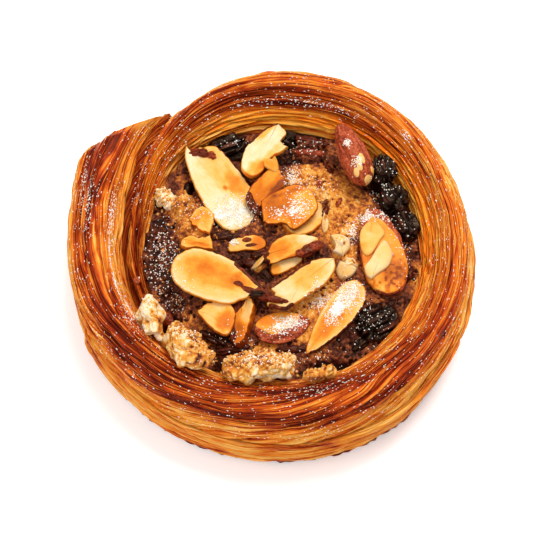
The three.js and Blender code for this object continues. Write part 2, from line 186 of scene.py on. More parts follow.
def joinedTree(pieces):  # all the pieces' surfaces as one body that rays can meet
    points, faces = [], []
    for piece in pieces:
        first = len(points)
        points += [vertex.co.copy() for vertex in piece.data.vertices]
        faces += [[first + corner for corner in face.vertices] for face in piece.data.polygons]
    return BVHTree.FromPolygons(points, faces)


def looksIn(settings):  # the nodes that a dictionary gives a look, and each look with what is usual
    return [(node, settings["usual"] | look) for node, look in settings.items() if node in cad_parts]


def gridFaces(rows, columns, loop=True):  # quads of a grid, whose rows close on themselves in a loop
    row = np.arange(rows - 1)[:, None]
    column = np.arange(columns if loop else columns - 1)[None, :]
    after = (column + 1) % columns
    quads = [row * columns + column, row * columns + after, (row + 1) * columns + after]
    quads.append((row + 1) * columns + column)
    return np.stack(np.broadcast_arrays(*quads), axis=-1).reshape(-1, 4)


def closedFaces(rows, columns):
    # a grid of closed rows and two more points, to which its first and its last row are closed
    column, last = np.arange(columns), (rows - 1) * columns
    after = (column + 1) % columns
    middle = column * 0 + rows * columns
    return [gridFaces(rows, columns), np.stack([middle, after, column], axis=-1),
            np.stack([middle + 1, last + column, last + after], axis=-1)]


def gridNormals(points):  # of a closed-row grid of points
    across = np.roll(points, -1, axis=1) - np.roll(points, 1, axis=1)
    along = np.gradient(points, axis=0)
    normal = np.cross(along, across)
    return normal / np.maximum(np.linalg.norm(normal, axis=-1, keepdims=True), 1e-9)


# Materials

def linear(hexColour):  # an sRGB hex value as linear light, with alpha
    values = [int(hexColour[i:i + 2], 16) / 255 for i in (1, 3, 5)]
    return [v / 12.92 if v <= 0.04045 else ((v + 0.055) / 1.055) ** 2.4 for v in values] + [1]


def addNode(tree, kind, inputs=None, stops=None, **settings):
    # adds a node with its settings; an input is a value, or a node or socket that is linked to it;
    # stops maps places from 0 to 1 on a colour ramp to hex colours
    node = tree.nodes.new(kind)
    for name, value in settings.items():
        setattr(node, name, value)
    for name, value in (inputs or {}).items():
        source = value.outputs[0] if isinstance(value, bpy.types.Node) else value
        if isinstance(source, bpy.types.NodeSocket):
            tree.links.new(source, node.inputs[name])
        else:
            node.inputs[name].default_value = source
    if stops:
        elements = node.color_ramp.elements
        while len(elements) < len(stops):
            elements.new(0.5)
        for element, (place, colour) in zip(elements, sorted(stops.items())):
            element.position, element.color = place, linear(colour)
    return node


def newMaterial(name):
    material = bpy.data.materials.new(name)
    material.use_nodes = True
    material.node_tree.nodes.clear()
    return material, material.node_tree


def finishMaterial(tree, shader):
    addNode(tree, "ShaderNodeOutputMaterial", {"Surface": shader})


def varied(tree, level, *patterns):  # a level, plus each pattern's swing to both sides of its middle
    for pattern, swing in patterns:
        centred = addNode(tree, "ShaderNodeMath", {0: pattern, 1: 0.5}, operation="SUBTRACT")
        level = addNode(tree, "ShaderNodeMath", {0: centred, 1: swing, 2: level}, operation="MULTIPLY_ADD")
    return level


# The pastry: one coiled strip of laminated dough, on a thin floor

coil = {
    # mm
    "radius": 47, "wallWidth": 12.6, "wallHeight": 22,
    "floorRadius": 40, "floorThickness": 7, "floorSide": 3,
    # the lower layers of the outside: how far they stand out in mm, between which turns they begin and
    # end, and which part of the outside they are, upward and outward
    "lowerTier": 1, "tierFrom": (202, 206), "tierUntil": (300, 380), "tierTop": (0.2, 0.36),
    "tierFace": (0.3, 0.6),
    # up to this turn the wall has another turn inside it, is widened to meet it by up to this much, and
    # is baked on to it in the groove
    "lastOverlap": 212, "widened": 1.12, "grooveWidth": 1.1, "weldHeight": 18, "weldHalf": 1.7,
    "cutFrom": (-45, 26), "cutTo": (-25, 35.8),  # the loose end's straight cut, seen from above
    "cutBefore": 175, "drawnFrom": 185,  # turns: the cut lies before it, and lines are drawn in from it
    "outerFrom": 205,  # from this turn on the outer turn can be the edge of the well
    "outerBelly": 0.42, "innerBelly": 0.58, "outerShoulder": 0.72, "foot": 0.8, "footDepth": 1.2,
    "tuck": 1.2, "foldPlace": 0.26, "foldWidth": 0.1, "leanFrom": 0.35, "leanTo": 1.1, "sinkPower": 0.4,
    "stepsAlong": 322, "pointsAbove": 246, "pointsBelow": 22, "endRings": 20, "weldSteps": 70,
    "usualTurn": 300, "fineDegrees": (-74, 205),  # the section there stands for all; its fine part
}
# the wall from the loose end inward: the turn in degrees, shares of the radius, width and height, how
# deep its fold is in mm, how its inside is rounded, and how far its top leans inward in mm
stationKeys = ("turn", "radius", "width", "height", "valley", "inside", "lean")
coilStations = dict(zip(stationKeys, np.array([
    (124, 1.17, 1, 0.93, 1.3, 0.5, 0.5), (148, 1.118, 1, 0.93, 1.5, 0.55, 1.5),
    (156, 1.075, 1, 0.95, 1.6, 0.6, 2.2), (165, 1.03, 1, 0.98, 1.5, 0.62, 3.2),
    (176, 1.0, 1, 1, 1.2, 0.64, 4.2), (190, 0.982, 1, 1, 0.8, 0.68, 4.6),
    (203, 0.974, 1, 1, 0.3, 0.8, 4.4), (225, 0.96, 1.04, 1, 0, 1.2, 0),
    (250, 0.961, 1.08, 1, 0, 1.2, 0), (270, 0.975, 1.14, 1, 0, 1.2, 0),
    (295, 0.993, 1.12, 1.02, 0, 1.2, 0), (320, 0.992, 1.06, 1.02, 0, 1.25, 0),
    (350, 0.99, 0.98, 0.98, 0, 1.3, 0), (375, 0.993, 0.98, 0.98, 0, 1.35, 0),
    (405, 1.018, 1.06, 1, 0, 1.4, 0), (440, 1.034, 1.2, 1, 0, 1.4, 0),
    (462, 1.01, 1.16, 1, 0, 1.3, 0), (475, 0.952, 0.96, 0.98, 0, 1.2, 0),
    (486, 0.895, 0.78, 0.96, 0, 1.1, 0), (498, 0.845, 0.65, 0.9, 0, 1.1, 0),
    (512, 0.775, 0.5, 0.83, 0, 1.1, 0), (528, 0.725, 0.4, 0.76, 0, 1.1, 0),
    (548, 0.7, 0.36, 0.68, 0, 1.1, 0), (574, 0.67, 0.34, 0.5, 0, 1.1, 0),
]).T))
looseEndTurn, innerEndTurn = coilStations["turn"][0], coilStations["turn"][-1]


def atTurn(key, turn):  # a station's value at any turn, on a smooth curve through the stations
    places, values = coilStations["turn"], coilStations[key]
    before, after = np.arange(len(places)) - 1, np.arange(len(places)) + 1
    before[0], after[-1] = 0, len(places) - 1
    slopes = (values[after] - values[before]) / (places[after] - places[before])
    i = np.clip(np.searchsorted(places, turn, side="right") - 1, 0, len(places) - 2)
    span = places[i + 1] - places[i]
    t = np.clip((turn - places[i]) / span, 0, 1)
    left = (t - 1) ** 2
    between = values[i] * left * (1 + 2 * t) + values[i + 1] * t * t * (3 - 2 * t)
    return between + span * (slopes[i] * t * left + slopes[i + 1] * t * t * (t - 1))


def wallWidthAt(turn):
    width = coil["wallWidth"] * atTurn("width", turn)
    free = coil["radius"] * (atTurn("radius", turn) - atTurn("radius", turn + 360)) - coil["grooveWidth"]
    return np.where(turn > coil["lastOverlap"], width, np.minimum(free, coil["widened"] * width))


def wallPoint(turn, around):
    # around goes from 0 at the outside over the top and down the inside to the underside
    width, height = wallWidthAt(turn), coil["wallHeight"] * atTurn("height", turn)
    across, up = np.cos(around), np.sin(around)
    outside = across > 0
    middle = height * np.where(outside, coil["outerBelly"], coil["innerBelly"])
    power = np.where(outside, coil["outerShoulder"], atTurn("inside", turn))
    above = np.maximum(up, 0) ** power * (height - middle)
    rise = np.where(up > 0, above, -np.abs(up) ** coil["foot"] * coil["footDepth"] * middle)
    tuck = np.where((up < 0) & outside, coil["tuck"] * up * up * across, 0)
    belowTop = 1 - smooth(up, *coil["tierTop"])
    tierRun = smooth(turn, *coil["tierFrom"]) * (1 - smooth(turn, *coil["tierUntil"]))
    tier = coil["lowerTier"] * tierRun * smooth(across, *coil["tierFace"]) * belowTop
    inward = (width / 2) * (1 - signedPower(across, power)) + tuck - tier * across
    share = inward / width
    fold = atTurn("valley", turn) * bump(share, coil["foldPlace"], coil["foldWidth"])
    fall = atTurn("lean", turn) * smooth(share, coil["leanFrom"], coil["leanTo"])
    sink = np.maximum(up, 0) ** coil["sinkPower"] * (fold + fall)
    radius = coil["radius"] * atTurn("radius", turn) - inward
    return vectors(*polar(radius, np.radians(turn)), np.maximum(0, middle + rise - sink))


def evenlyAround():
    # the angles of the section's points, evenly spaced on its surface, and how far along it they lie
    angles = np.radians(np.linspace(-90, 270, 4001))
    section = wallPoint(np.full_like(angles, coil["usualTurn"]), angles)
    steps = np.linalg.norm(np.diff(section, axis=0), axis=1)
    lengths = np.concatenate([[0], np.cumsum(steps)])
    start, turnUnder = np.interp(np.radians(coil["fineDegrees"]), angles, lengths)
    above = np.linspace(start, turnUnder, coil["pointsAbove"])
    below = np.linspace(turnUnder, start + lengths[-1], coil["pointsBelow"] + 2)[1:-1] % lengths[-1]
    chosen = np.concatenate([above, below])
    return np.interp(chosen, lengths, angles), chosen


def fromCut(points):  # how far points lie before the loose end's cut, and the ways out of and along it
    start, end = np.array(coil["cutFrom"]), np.array(coil["cutTo"])
    direction = (end - start) / np.linalg.norm(end - start)
    outward = np.array([-direction[1], direction[0]])
    return -(points[..., :2] - start) @ outward, outward, direction


def endTurns(pointAt, like):  # the turn at which each line of a surface reaches the cut, by halving
    low, high = np.full_like(like, looseEndTurn), np.full_like(like, coil["cutBefore"])
    for _ in range(24):
        middle = (low + high) / 2
        beyond = fromCut(pointAt(middle))[0] < 0
        low, high = np.where(beyond, middle, low), np.where(beyond, high, middle)
    return (low + high) / 2


crust = {
    "seed": 3,
    # mm high
    "wideRidge": 0.28, "thinRidge": 0.22, "terrace": 0.42, "plate": 0.34, "seam": 0.34, "crack": 0.5,
    "plateRun": 13, "plateWidth": 1.0,  # mm: one torn strip of a layer
    # mm: how far the layers climb at the front, between which lines, and between which turns it begins
    "frontRise": 13, "seamAt": 20.4, "climbTop": (31, 42), "climbTurns": (190, 345),
    # how the layers wander: mm to each side, how long and wide a wave is, and its seed after the first
    "drift": [(1.3, (48, 9, 1), 0), (0.55, (15, 5, 1), 1), (0.22, (5, 2.2, 1), 9)],
    "edgeBand": 2.3, "edgeSink": 1.4,  # mm of pale crumb along the cut, and how deep it is sunken
    "skirt": 0.7, "scallop": 0.9, "scallopRun": 2.1, "darkFoot": 2.4,  # mm: the fried foot stands out
    # how dark it is all over, how much darker its crest, its inside and its foot are, and between which
    # degrees of the section the crest begins and ends and the inside begins
    "dark": 0.01, "crestDarker": 0.19, "innerDarker": 0.03, "footDarker": 0.5,
    "crestFrom": (24, 58), "crestTo": (118, 152), "innerFrom": (140, 165),
    "blotches": [(0.13, (60, 3.6, 1), 31), (0.1, (16, 1.6, 1), 37)],  # how much, their size in mm, seed
    # where it is baked more or less: turn, degrees round the section, how far both ways, how much
    "baked": [
        (150, 70, 16, 14, 0.3), (175, 87, 40, 5, 0.3), (190, 72, 22, 9, -0.1), (140, 120, 18, 30, -0.1),
        (182, 125, 20, 22, -0.22), (154, 130, 10, 14, 0.1), (214, 80, 20, 22, 0.2),
        (245, 108, 34, 14, 0.16), (288, 108, 18, 20, 0.24), (260, 50, 34, 18, 0.12),
        (322, 56, 30, 8, 0.3), (320, 82, 24, 10, 0.02), (300, 20, 60, 12, 0.05), (375, 122, 22, 18, -0.2),
        (440, 126, 34, 7, 0.26), (430, 158, 50, 14, -0.22), (405, 62, 34, 22, -0.1),
        (465, 104, 26, 12, 0.14), (470, 66, 20, 18, -0.06), (500, 80, 26, 26, 0.1),
        (470, 32, 26, 12, -0.12), (535, 90, 30, 60, 0.22), (210, 4, 5, 8, 0.34), (218, 20, 6, 9, 0.3),
        (226, 37, 7, 8, 0.3), (235, 50, 8, 7, 0.3), (246, 58, 9, 6, 0.26), (151, 91, 6, 6, -0.16),
        (164, 100, 9, 6, -0.12), (182, 114, 12, 7, -0.14), (145, 92, 6, 8, 0.18), (152, 110, 8, 7, 0.2),
        (163, 118, 8, 6, 0.16), (201, 121, 14, 6, -0.24), (213, 128, 9, 6, -0.26),
        (172, 170, 10, 12, -0.2), (497, 93, 12, 14, -0.26), (509, 108, 10, 14, -0.26),
        (494, 34, 8, 12, 0.16), (280, 114, 16, 10, 0.26), (306, 94, 16, 10, 0.2), (250, 120, 22, 8, 0.1),
        (450, 0, 50, 40, 0.12), (480, 20, 16, 26, 0.14), (467, 136, 16, 12, -0.24),
        (250, 100, 60, 8, 0.08), (285, 62, 44, 14, 0.1), (440, 112, 50, 8, 0.1), (384, 92, 22, 22, -0.14),
        (442, 86, 26, 12, -0.08), (232, 12, 14, 10, -0.14), (176, 22, 20, 26, -0.08),
        (373, 135, 16, 12, 0.08), (155, 92, 9, 6, 0.2),
    ],
    # where it is golden, with few dark seams, in the same way
    "golden": [
        (338, 152, 22, 12, 0.7), (364, 142, 22, 14, 0.9), (390, 134, 22, 16, 1), (415, 144, 22, 12, 1),
        (440, 147, 24, 12, 1), (464, 139, 16, 12, 0.9), (497, 95, 12, 16, 0.8), (509, 108, 10, 16, 0.6),
        (141, 142, 10, 16, 0.6), (164, 101, 14, 7, 0.4), (185, 116, 14, 7, 0.6), (206, 126, 14, 8, 0.5),
        (380, 70, 30, 12, 0.3), (230, 16, 24, 12, 0.2), (182, 40, 18, 16, 0.2), (290, 12, 50, 16, 0.2),
    ],
}


def layerLines(turn, plan):
    # where a point lies among the dough's layers: the layers run along the coil, wander a little, and
    # climb over the outside at the front, where the strip is wound over its own beginning
    along, layer = plan[..., 0], plan[..., 1]
    drift = sum(far * swell(plan, size, crust["seed"] + number) for far, size, number in crust["drift"])
    climb = crust["frontRise"] * smooth(turn, *crust["climbTurns"])
    climb = climb * smooth(layer, crust["seamAt"] - 0.2, crust["seamAt"] + 0.2)
    climb = climb * (1 - smooth(layer, *crust["climbTop"]))
    return plan + vectors(0.0, drift + 0.01 * along - climb)


def coilRelief(lines, plan):
    # the edges of the dough's layers: ridges, terraces, torn plates and cracks, from -1 to 1; each size
    # is in mm, along and across the layers
    seed = crust["seed"]
    wide = swell(lines, (70, 3.1, 1), seed + 2)
    thin = 1 - 2 * np.abs(swell(lines, (19, 1.5, 1), seed + 3)) ** 0.8
    step = (lines[..., 1] / 1.6 + 0.5 * swell(lines, (36, 4, 1), seed + 5)) % 1
    shown = smooth(swell(plan, (20, 3.5, 1), seed + 6), -0.5, 0.3)
    terrace = (smooth(step, 0, 0.75) - smooth(step, 0.84, 1) - 0.4) * shown
    border, plate = grains(lines, (crust["plateRun"], crust["plateWidth"], 1), seed + 4)[1:]
    seam = 1 - smooth(border, 0.02, 0.4)
    crack = smooth(1 - np.abs(swell(lines, (20, 1.9, 1), seed + 7)), 0.82, 0.98)
    crack = crack * smooth(swell(plan, (11, 3, 1), seed + 8), -0.1, 0.3)
    return wide, thin, terrace, 2 * plate - 1, seam, crack


def spotted(turn, degrees, spots, level=0):  # a level with soft spots of the wall's surface added
    return sum((amount * bump(turn, atPlace, run) * bump(degrees, atAngle, spread)
                for atPlace, atAngle, run, spread, amount in spots), level)


def browningOf(turn, around, plan, height):
    # how dark the crust is baked, from 0, pale dough, to 1, nearly burnt
    degrees = np.degrees(around)
    crest = smooth(degrees, *crust["crestFrom"]) * (1 - smooth(degrees, *crust["crestTo"]))
    inner = smooth(degrees, *crust["innerFrom"])
    level = crust["dark"] + crust["crestDarker"] * crest + crust["innerDarker"] * inner
    level = spotted(turn, degrees, crust["baked"], level)
    for amount, size, seed in crust["blotches"]:
        level = level + amount * roughly(plan, size, seed)
    edge = crust["darkFoot"] * (1 + 0.4 * swell(plan, (4, 90, 1), 41))
    return level + crust["footDarker"] * (1 - smooth(height, 0.6 * edge, edge)) * (degrees < 90)


def scallops(along):  # the bumps of the fried foot, from 0 to 1, each as long as the next is not
    place = along / crust["scallopRun"] + 0.7 * swell(vectors(along), 4.5, 51)
    part = 2 * (place % 1) - 1
    size = hashed(np.stack([np.floor(place).astype(np.int64)] * 3, axis=-1), 52)
    return np.sqrt(np.maximum(0, 1 - part * part)) * (0.3 + 0.7 * size)


def buildPastry():
    around, layer = evenlyAround()
    rows = np.linspace(0, 1, coil["stepsAlong"])[:, None]
    turn = innerEndTurn + (looseEndTurn - innerEndTurn) * rows + 0 * around
    ends = endTurns(lambda turns: wallPoint(turns, around), around)
    drawnFrom = coil["drawnFrom"]
    drawnIn = np.clip((drawnFrom - turn) / (drawnFrom - looseEndTurn), 0, 1)
    turn = np.where(turn < drawnFrom, drawnFrom + drawnIn * (ends - drawnFrom), turn)
    angle = around + 0 * turn
    smoothForm = wallPoint(turn, angle)
    along = np.radians(turn) * coil["radius"]
    plan = vectors(along, layer)
    lines = layerLines(turn, plan)
    wide, thin, terrace, plate, seam, crack = coilRelief(lines, plan)
    raised = crust["thinRidge"] * thin + crust["terrace"] * terrace + crust["plate"] / 2 * plate
    raised = raised - crust["seam"] * seam
    relief = crust["wideRidge"] * wide + raised - crust["crack"] * crack
    up, across = np.sin(angle), np.cos(angle)
    shown = smooth(up, -1.0, -0.6) * (1 - 0.5 * smooth(-across, 0.75, 1) * smooth(-up, -0.5, 0.3))
    height = smoothForm[..., 2]
    outerFoot = (1 - smooth(height, 0.4, crust["darkFoot"])) * smooth(across, 0.1, 0.4)
    band = 1 - smooth(fromCut(smoothForm)[0], 0.3, crust["edgeBand"])
    normals = gridNormals(smoothForm)
    if np.mean(normals[..., 2] * (up > 0.5)) < 0:
        normals = -normals
    points = smoothForm + normals * (relief * shown * (1 - 0.5 * band))[..., None]
    reach = crust["skirt"] + crust["scallop"] * scallops(along)
    points = points + vectors(*polar(1, np.radians(turn))) * (reach * outerFoot)[..., None]
    points[..., 2] -= crust["edgeSink"] * band ** 2 * smooth(up, 0.1, 0.6)
    points[..., 2] = np.maximum(points[..., 2], 0)
    browning = browningOf(turn, angle, plan, height)
    # raised layer edges are painted paler, as painted light, and seams and cracks darker, as painted shade;
    # wide ridges brown more and the cut's band is pale crumb
    browning = browning + 0.12 * wide - 0.3 * raised - 0.3 * band + 0.25 * crack
    golden = np.clip(spotted(turn, np.degrees(angle), crust["golden"]), 0, 1)
    return points, {"browning": browning, "layers": lines, "golden": golden}


def closedTube(points, fields, firstRings=3, lastRings=coil["endRings"]):
    # a grid of closed rows made into a closed body: rings shrink to a middle point at both ends
    def capRings(row, count):
        middle = points[row].mean(axis=0)
        shares = 1 - np.arange(1, count) / count
        return middle + shares[:, None, None] * (points[row] - middle), middle

    startRings, start = capRings(0, firstRings)
    endRings, end = capRings(-1, lastRings)
    grid = np.concatenate([startRings[::-1], points, endRings])
    rows, columns = grid.shape[:2]
    spread = {}
    for name, values in fields.items():
        starts = np.repeat(values[:1], firstRings - 1, axis=0)
        ends = np.repeat(values[-1:], lastRings - 1, axis=0)
        whole = np.concatenate([starts, values, ends])
        flat = whole.reshape((rows * columns,) + whole.shape[2:])
        spread[name] = np.concatenate([flat, values[0, :1], values[-1, :1]])
    return np.concatenate([grid.reshape(-1, 3), [start, end]]), closedFaces(rows, columns), spread


def cutFaceLook(points, fields):
    # the sliced end: the layers stand on edge across it, pale between browned seams; its points are the
    # last rings and the middle points after them
    ring = coil["pointsAbove"] + coil["pointsBelow"]
    face = slice(-(coil["endRings"] - 1) * ring - 2, None)
    outward, direction = fromCut(points[face])[1:]
    across = (points[face, :2] - np.array(coil["cutFrom"])) @ direction
    plan = vectors(across, points[face, 2])
    lines = swell(plan, (0.9, 9, 1), 61) + 0.5 * swell(plan, (0.45, 6, 1), 62)
    points[face, :2] += outward * (0.22 * lines - 0.1)[:, None]
    fields["browning"][face] = 0.24 + 0.12 * lines + 0.1 * swell(plan, 5, 63)
    fields["layers"][face] = vectors(points[face, 2], across + 200)


def weldTube():
    # where the loose end and the turn inside it have baked together, low in the groove
    section = np.radians(np.arange(0, 360, 22.5))

    def pointAt(turn, angle):
        radius = coil["radius"] * atTurn("radius", turn + 360) + coil["grooveWidth"] / 2
        radius = radius + coil["weldHalf"] * signedPower(np.cos(angle), 0.6)
        height = coil["weldHeight"] * atTurn("height", turn + 360)
        height = height * (0.5 + 0.5 * signedPower(np.sin(angle), 0.5))
        return vectors(*polar(radius, np.radians(turn)), height + 0.2)

    ends = endTurns(lambda turns: pointAt(turns, section), section)
    share = np.linspace(0, 1, coil["weldSteps"])[:, None]
    turn = coil["lastOverlap"] + share * (ends - coil["lastOverlap"])
    angle = section + 0 * turn
    points = pointAt(turn, angle)
    points[..., 2] += 0.4 * swell(points, 2.2, 71) * (np.sin(angle) > 0.3)
    return points, {"browning": 0.5 + 0.1 * swell(points, 3, 72), "golden": 0 * angle}


def underside():
    # the thin floor of dough: a disc, whose baked bottom is a little hollow between blisters
    edge, rings, hole = coil["floorRadius"], 40, 0.5
    radii = np.concatenate([np.linspace(hole, edge, rings), [edge, edge - 0.2, edge / 2, hole]])
    bottom = np.arange(len(radii)) < rings
    angle = np.radians(np.arange(0, 360, 5))
    radius = radii[:, None] + 0 * angle
    height = np.where(bottom, 0.3, coil["floorThickness"])[:, None] + 0 * angle
    height[rings] = coil["floorSide"]
    plan = vectors(*polar(radius, angle))
    blisters = np.clip(roughly(plan, 7, 81), 0, 1) + 0.3 * np.clip(swell(plan, 1.6, 82), 0, 1)
    points = plan + vectors(0.0, 0.0, height + blisters * bottom[:, None])
    fields = {"browning": 0.5 + 0.3 * roughly(plan, 9, 83) - 0.2 * blisters, "golden": 0 * radius,
              "layers": vectors(3 * radius, radius)}
    return points[:, ::-1], {name: values[:, ::-1] for name, values in fields.items()}


def laminatedCrust():
    # laminated dough, egg-washed and baked: the eye sees glossy red-brown layer edges over gold crumb
    material, tree = newMaterial("laminatedCrust")
    # mm long and wide, how much darker
    streaks = [(50, 1.5, 0.2), (34, 0.55, 0.32), (22, 0.27, 0.3), (12, 0.16, 0.24)]
    plates = [(13, 0.85, 0.2), (6, 0.42, 0.12)]  # the same, for torn strips with a dark seam round each
    glints = [(30, 0.3, -0.36), (16, 0.2, -0.3)]  # the same, for painted highlights: thin pale lines along the raised layer edges
    layers = addNode(tree, "ShaderNodeAttribute", attribute_name="layers").outputs["Vector"]
    browning, golden = (addNode(tree, "ShaderNodeAttribute", attribute_name=field).outputs["Fac"]
                        for field in ("browning", "golden"))
    place = addNode(tree, "ShaderNodeTexCoord").outputs["Object"]
    patterns = []
    for run, width, swing in streaks + glints:
        drawn = addNode(tree, "ShaderNodeMapping", {"Vector": layers, "Scale": (1 / run, 1 / width, 1)})
        noise = addNode(tree, "ShaderNodeTexNoise", {"Vector": drawn, "Scale": 1, "Detail": 2})
        low, high = (0.38, 0.62) if swing > 0 else (0.58, 0.66)  # painted highlights are fewer and sharper
        crisp = addNode(tree, "ShaderNodeMapRange", {"Value": noise, "From Min": low, "From Max": high})
        patterns.append((crisp, swing))
    for run, width, swing in plates:
        drawn = addNode(tree, "ShaderNodeMapping", {"Vector": layers, "Scale": (1 / run, 1 / width, 1)})
        cells = addNode(tree, "ShaderNodeTexVoronoi", {"Vector": drawn, "Scale": 1}, voronoi_dimensions="2D")
        edges = addNode(tree, "ShaderNodeTexVoronoi", {"Vector": drawn, "Scale": 1}, voronoi_dimensions="2D",
                        feature="DISTANCE_TO_EDGE")
        seam = addNode(tree, "ShaderNodeMapRange", {
            "Value": edges, "From Min": 0.02, "From Max": 0.16, "To Min": 1, "To Max": 0})
        patterns += [(cells.outputs["Color"], swing), (seam, 0.6 * swing)]
    blotch = addNode(tree, "ShaderNodeTexNoise", {"Vector": place, "Scale": 1 / (3.5 * mm), "Detail": 4})
    level = varied(tree, browning, (blotch, 0.35), *patterns)
    red = addNode(tree, "ShaderNodeValToRGB", {"Fac": level}, stops={
        0.0: "#f6b85f", 0.14: "#ef9c38", 0.3: "#e48429", 0.46: "#d4651c", 0.6: "#b94513",
        0.76: "#8e270d", 1.0: "#4c1007"})
    gold = addNode(tree, "ShaderNodeValToRGB", {"Fac": level}, stops={
        0.0: "#fbb347", 0.25: "#f58d1e", 0.5: "#e3660d", 0.75: "#b2400a", 1.0: "#5e1906"})
    colour = addNode(tree, "ShaderNodeMix", {0: golden, 6: red, 7: gold}, data_type="RGBA").outputs[2]
    # the same patterns dent the surface, so each line is painted darker down in its groove and paler on its
    # raised edge: the dough's browning, with painted shade and painted highlight on it
    relief = varied(tree, 0.5, *patterns[1:])
    bumps = addNode(tree, "ShaderNodeBump", {"Height": relief, "Strength": 0.9, "Distance": -0.25 * mm})
    gloss = addNode(tree, "ShaderNodeMapRange", {
        "Value": level, "From Min": 0.1, "From Max": 0.8, "To Min": 0.55, "To Max": 0.36})
    finishMaterial(tree, addNode(tree, "ShaderNodeBsdfPrincipled", {
        "Base Color": colour, "Roughness": gloss, "Normal": bumps, "IOR": 1.45,
        "Specular IOR Level": 0.2, "Specular Tint": linear("#ffb080")}))
    return material


def makePastry():
    points, fields = buildPastry()
    wall = closedTube(points, fields)
    cutFaceLook(wall[0], wall[2])
    weld = closedTube(*weldTube(), firstRings=2, lastRings=2)
    x, y, z = weld[0].T
    weld[2]["layers"] = vectors(z, 3 * np.hypot(x, y))
    floor = closedTube(*underside(), firstRings=2, lastRings=2)
    pastry = makePiece("pastryCoil", *joinedParts([wall, weld, floor]))
    pastry.data.set_sharp_from_angle(angle=math.radians(65))
    dress(pastry, "pastry", laminatedCrust())
    print("pastry:", len(pastry.data.polygons), "faces")
    return pastry


# The filling: almond cream baked to a crumbly top, dark where fruit and syrup have caught, with painted
# shade in its pits and under the right wall

filling = {
    # mm: how high its edge and, above that, its middle are, and how far it reaches into the wall
    "edge": 13.4, "dome": 3.4, "underside": 7.3, "into": 0.9,
    "cells": 270, "crumbHigh": 1.1, "roughHigh": 0.5, "sink": 0.25,  # how far a topping is sunk into it
    "seed": 94, "missing": 0.2, "light": 0.42,  # the share of crumbs that are missing; its usual lightness
    # areas: middle x and y, reach in x and y, how light from 0, black, to 1, pale gold, and height
    "areas": [
        (-25.5, 1.4, 5, 11.4, 0.3, 0), (-22.9, -8.7, 6.9, 7.6, 0.32, 0), (-20, 11.8, 3.2, 7.1, 0.72, 0.8),
        (-18.6, 4.2, 3.2, 3, 0.7, 0), (-10.9, 28.6, 5.7, 4.6, 0.06, -0.5), (-2.1, 29.1, 4.6, 3, 0.3, 0),
        (8.1, 31.6, 8, 1.8, 0.1, -0.6), (8, 28.3, 6.9, 1.5, 0.42, 0), (10.3, 16.2, 8.7, 7.6, 0.86, 0.8),
        (18.3, 11.8, 5.7, 7.6, 0.72, 0.3), (14.7, 5.8, 5, 5.1, 0.78, 0.2),
        # the near-black, sunken area at x 26.7 and y 19.7 is painted shade under the right wall
        (6.8, 24.8, 7.3, 1.8, 0.12, -0.8), (26.7, 19.7, 4.6, 7.6, 0.04, -1),
        (30.5, 7.9, 2.3, 2.5, 0.55, 0.3), (32.8, 1.4, 2.1, 6.1, 0.42, 0),
        (29.2, -10.4, 4.6, 3.5, 0.35, 0), (33.9, -4.9, 2.8, 4.6, 0.62, 0.3), (-9, 3.7, 6, 2.5, 0.35, 0),
        (-1.4, 6.3, 6.9, 2, 0.5, 0), (-3.7, -2.9, 6.9, 4.6, 0.22, -0.3),
        (9.2, -14.4, 9.6, 10.6, 0.82, 0.2), (17.7, -21.3, 5.7, 5.1, 0.3, 0),
        (21.2, -12.4, 2.8, 2.5, 0.45, 0), (8.7, -25.4, 4.6, 2.5, 0.6, 0), (13.5, -27.8, 8, 2, 0.04, -1),
        (3.8, -23.7, 5.7, 2.3, 0.4, 0), (-12.5, -20.3, 6, 3, 0.25, 0), (-10.2, -24.9, 5, 2.5, 0.3, 0),
        (-16.9, -15.4, 4.1, 3.5, 0.5, 0), (-2, -23.4, 5, 2, 0.7, 0), (16.9, -1.1, 3.2, 3.5, 0.7, 0),
        (-11.7, -30.1, 3.2, 2.3, 0.1, -0.8), (-18.7, 17.3, 1.8, 2.5, 0.03, -1.5),
        (-12.2, 7.3, 1.6, 2.5, 0.03, -1.2), (11.7, 19.4, 1.4, 1.3, 0.42, -0.8),
        (-3, -26.4, 10, 3.2, 0.7, 0), (-18, -20.6, 5.6, 4.6, 0.66, 0), (-26.4, -15, 3, 5, 0.66, 0),
        (13.4, 14.4, 5, 6, 0.9, 0), (15.4, 19, 2.6, 4, 0.7, 0), (-10.2, -27.6, 2.4, 2.4, 0.14, -0.5),
    ],
    # lumps of nut and skin that are one with it: x, y, heading, length, width, height, lightness
    "lumps": [
        (16, 2, -24, 5, 4.2, 2.4, 1), (17.8, -3.6, 30, 4.6, 3.8, 2.2, 1),
        (-3.2, -1.8, 40, 3.6, 2.8, 2, 0.3), (-2.6, -4.8, 35, 3.8, 2.4, 2, 0.85),
        (9, -0.6, 35, 5.4, 2.8, 1.9, 0.3), (12.8, 7.2, 86, 4.4, 1.8, 1.9, 0.95),
        (12.6, 11.4, 68, 4.4, 1.6, 1.9, 0.25), (0.2, 22.4, 70, 4, 2.8, 2.2, 0.35),
        (8.8, 25, -5, 8.4, 2.6, 2.2, 0.35), (8.6, 28, -3, 9.6, 3.4, 2.6, 0.45),
        (-20.8, 11.8, 50, 7.4, 5.2, 2.6, 0.78), (-20, 6, 80, 6.6, 5, 2.2, 0.72),
        (-23.8, -9.6, -60, 4.6, 2.6, 2.1, 0.3), (-21.2, -15.8, -65, 5, 2.4, 2.4, 0.25),
    ],
}


def wellRadius(angle):  # the inside of the wall at a bearing in degrees from 0 to 360
    def inside(turn):
        return coil["radius"] * atTurn("radius", turn) - wallWidthAt(turn)

    past = smooth(angle + 360, innerEndTurn + 2, innerEndTurn + 14)  # where the inner turn has ended
    inner, outer = np.minimum(angle + 360, innerEndTurn), np.maximum(angle, coil["outerFrom"])
    return (1 - past) * inside(inner) + past * inside(outer)


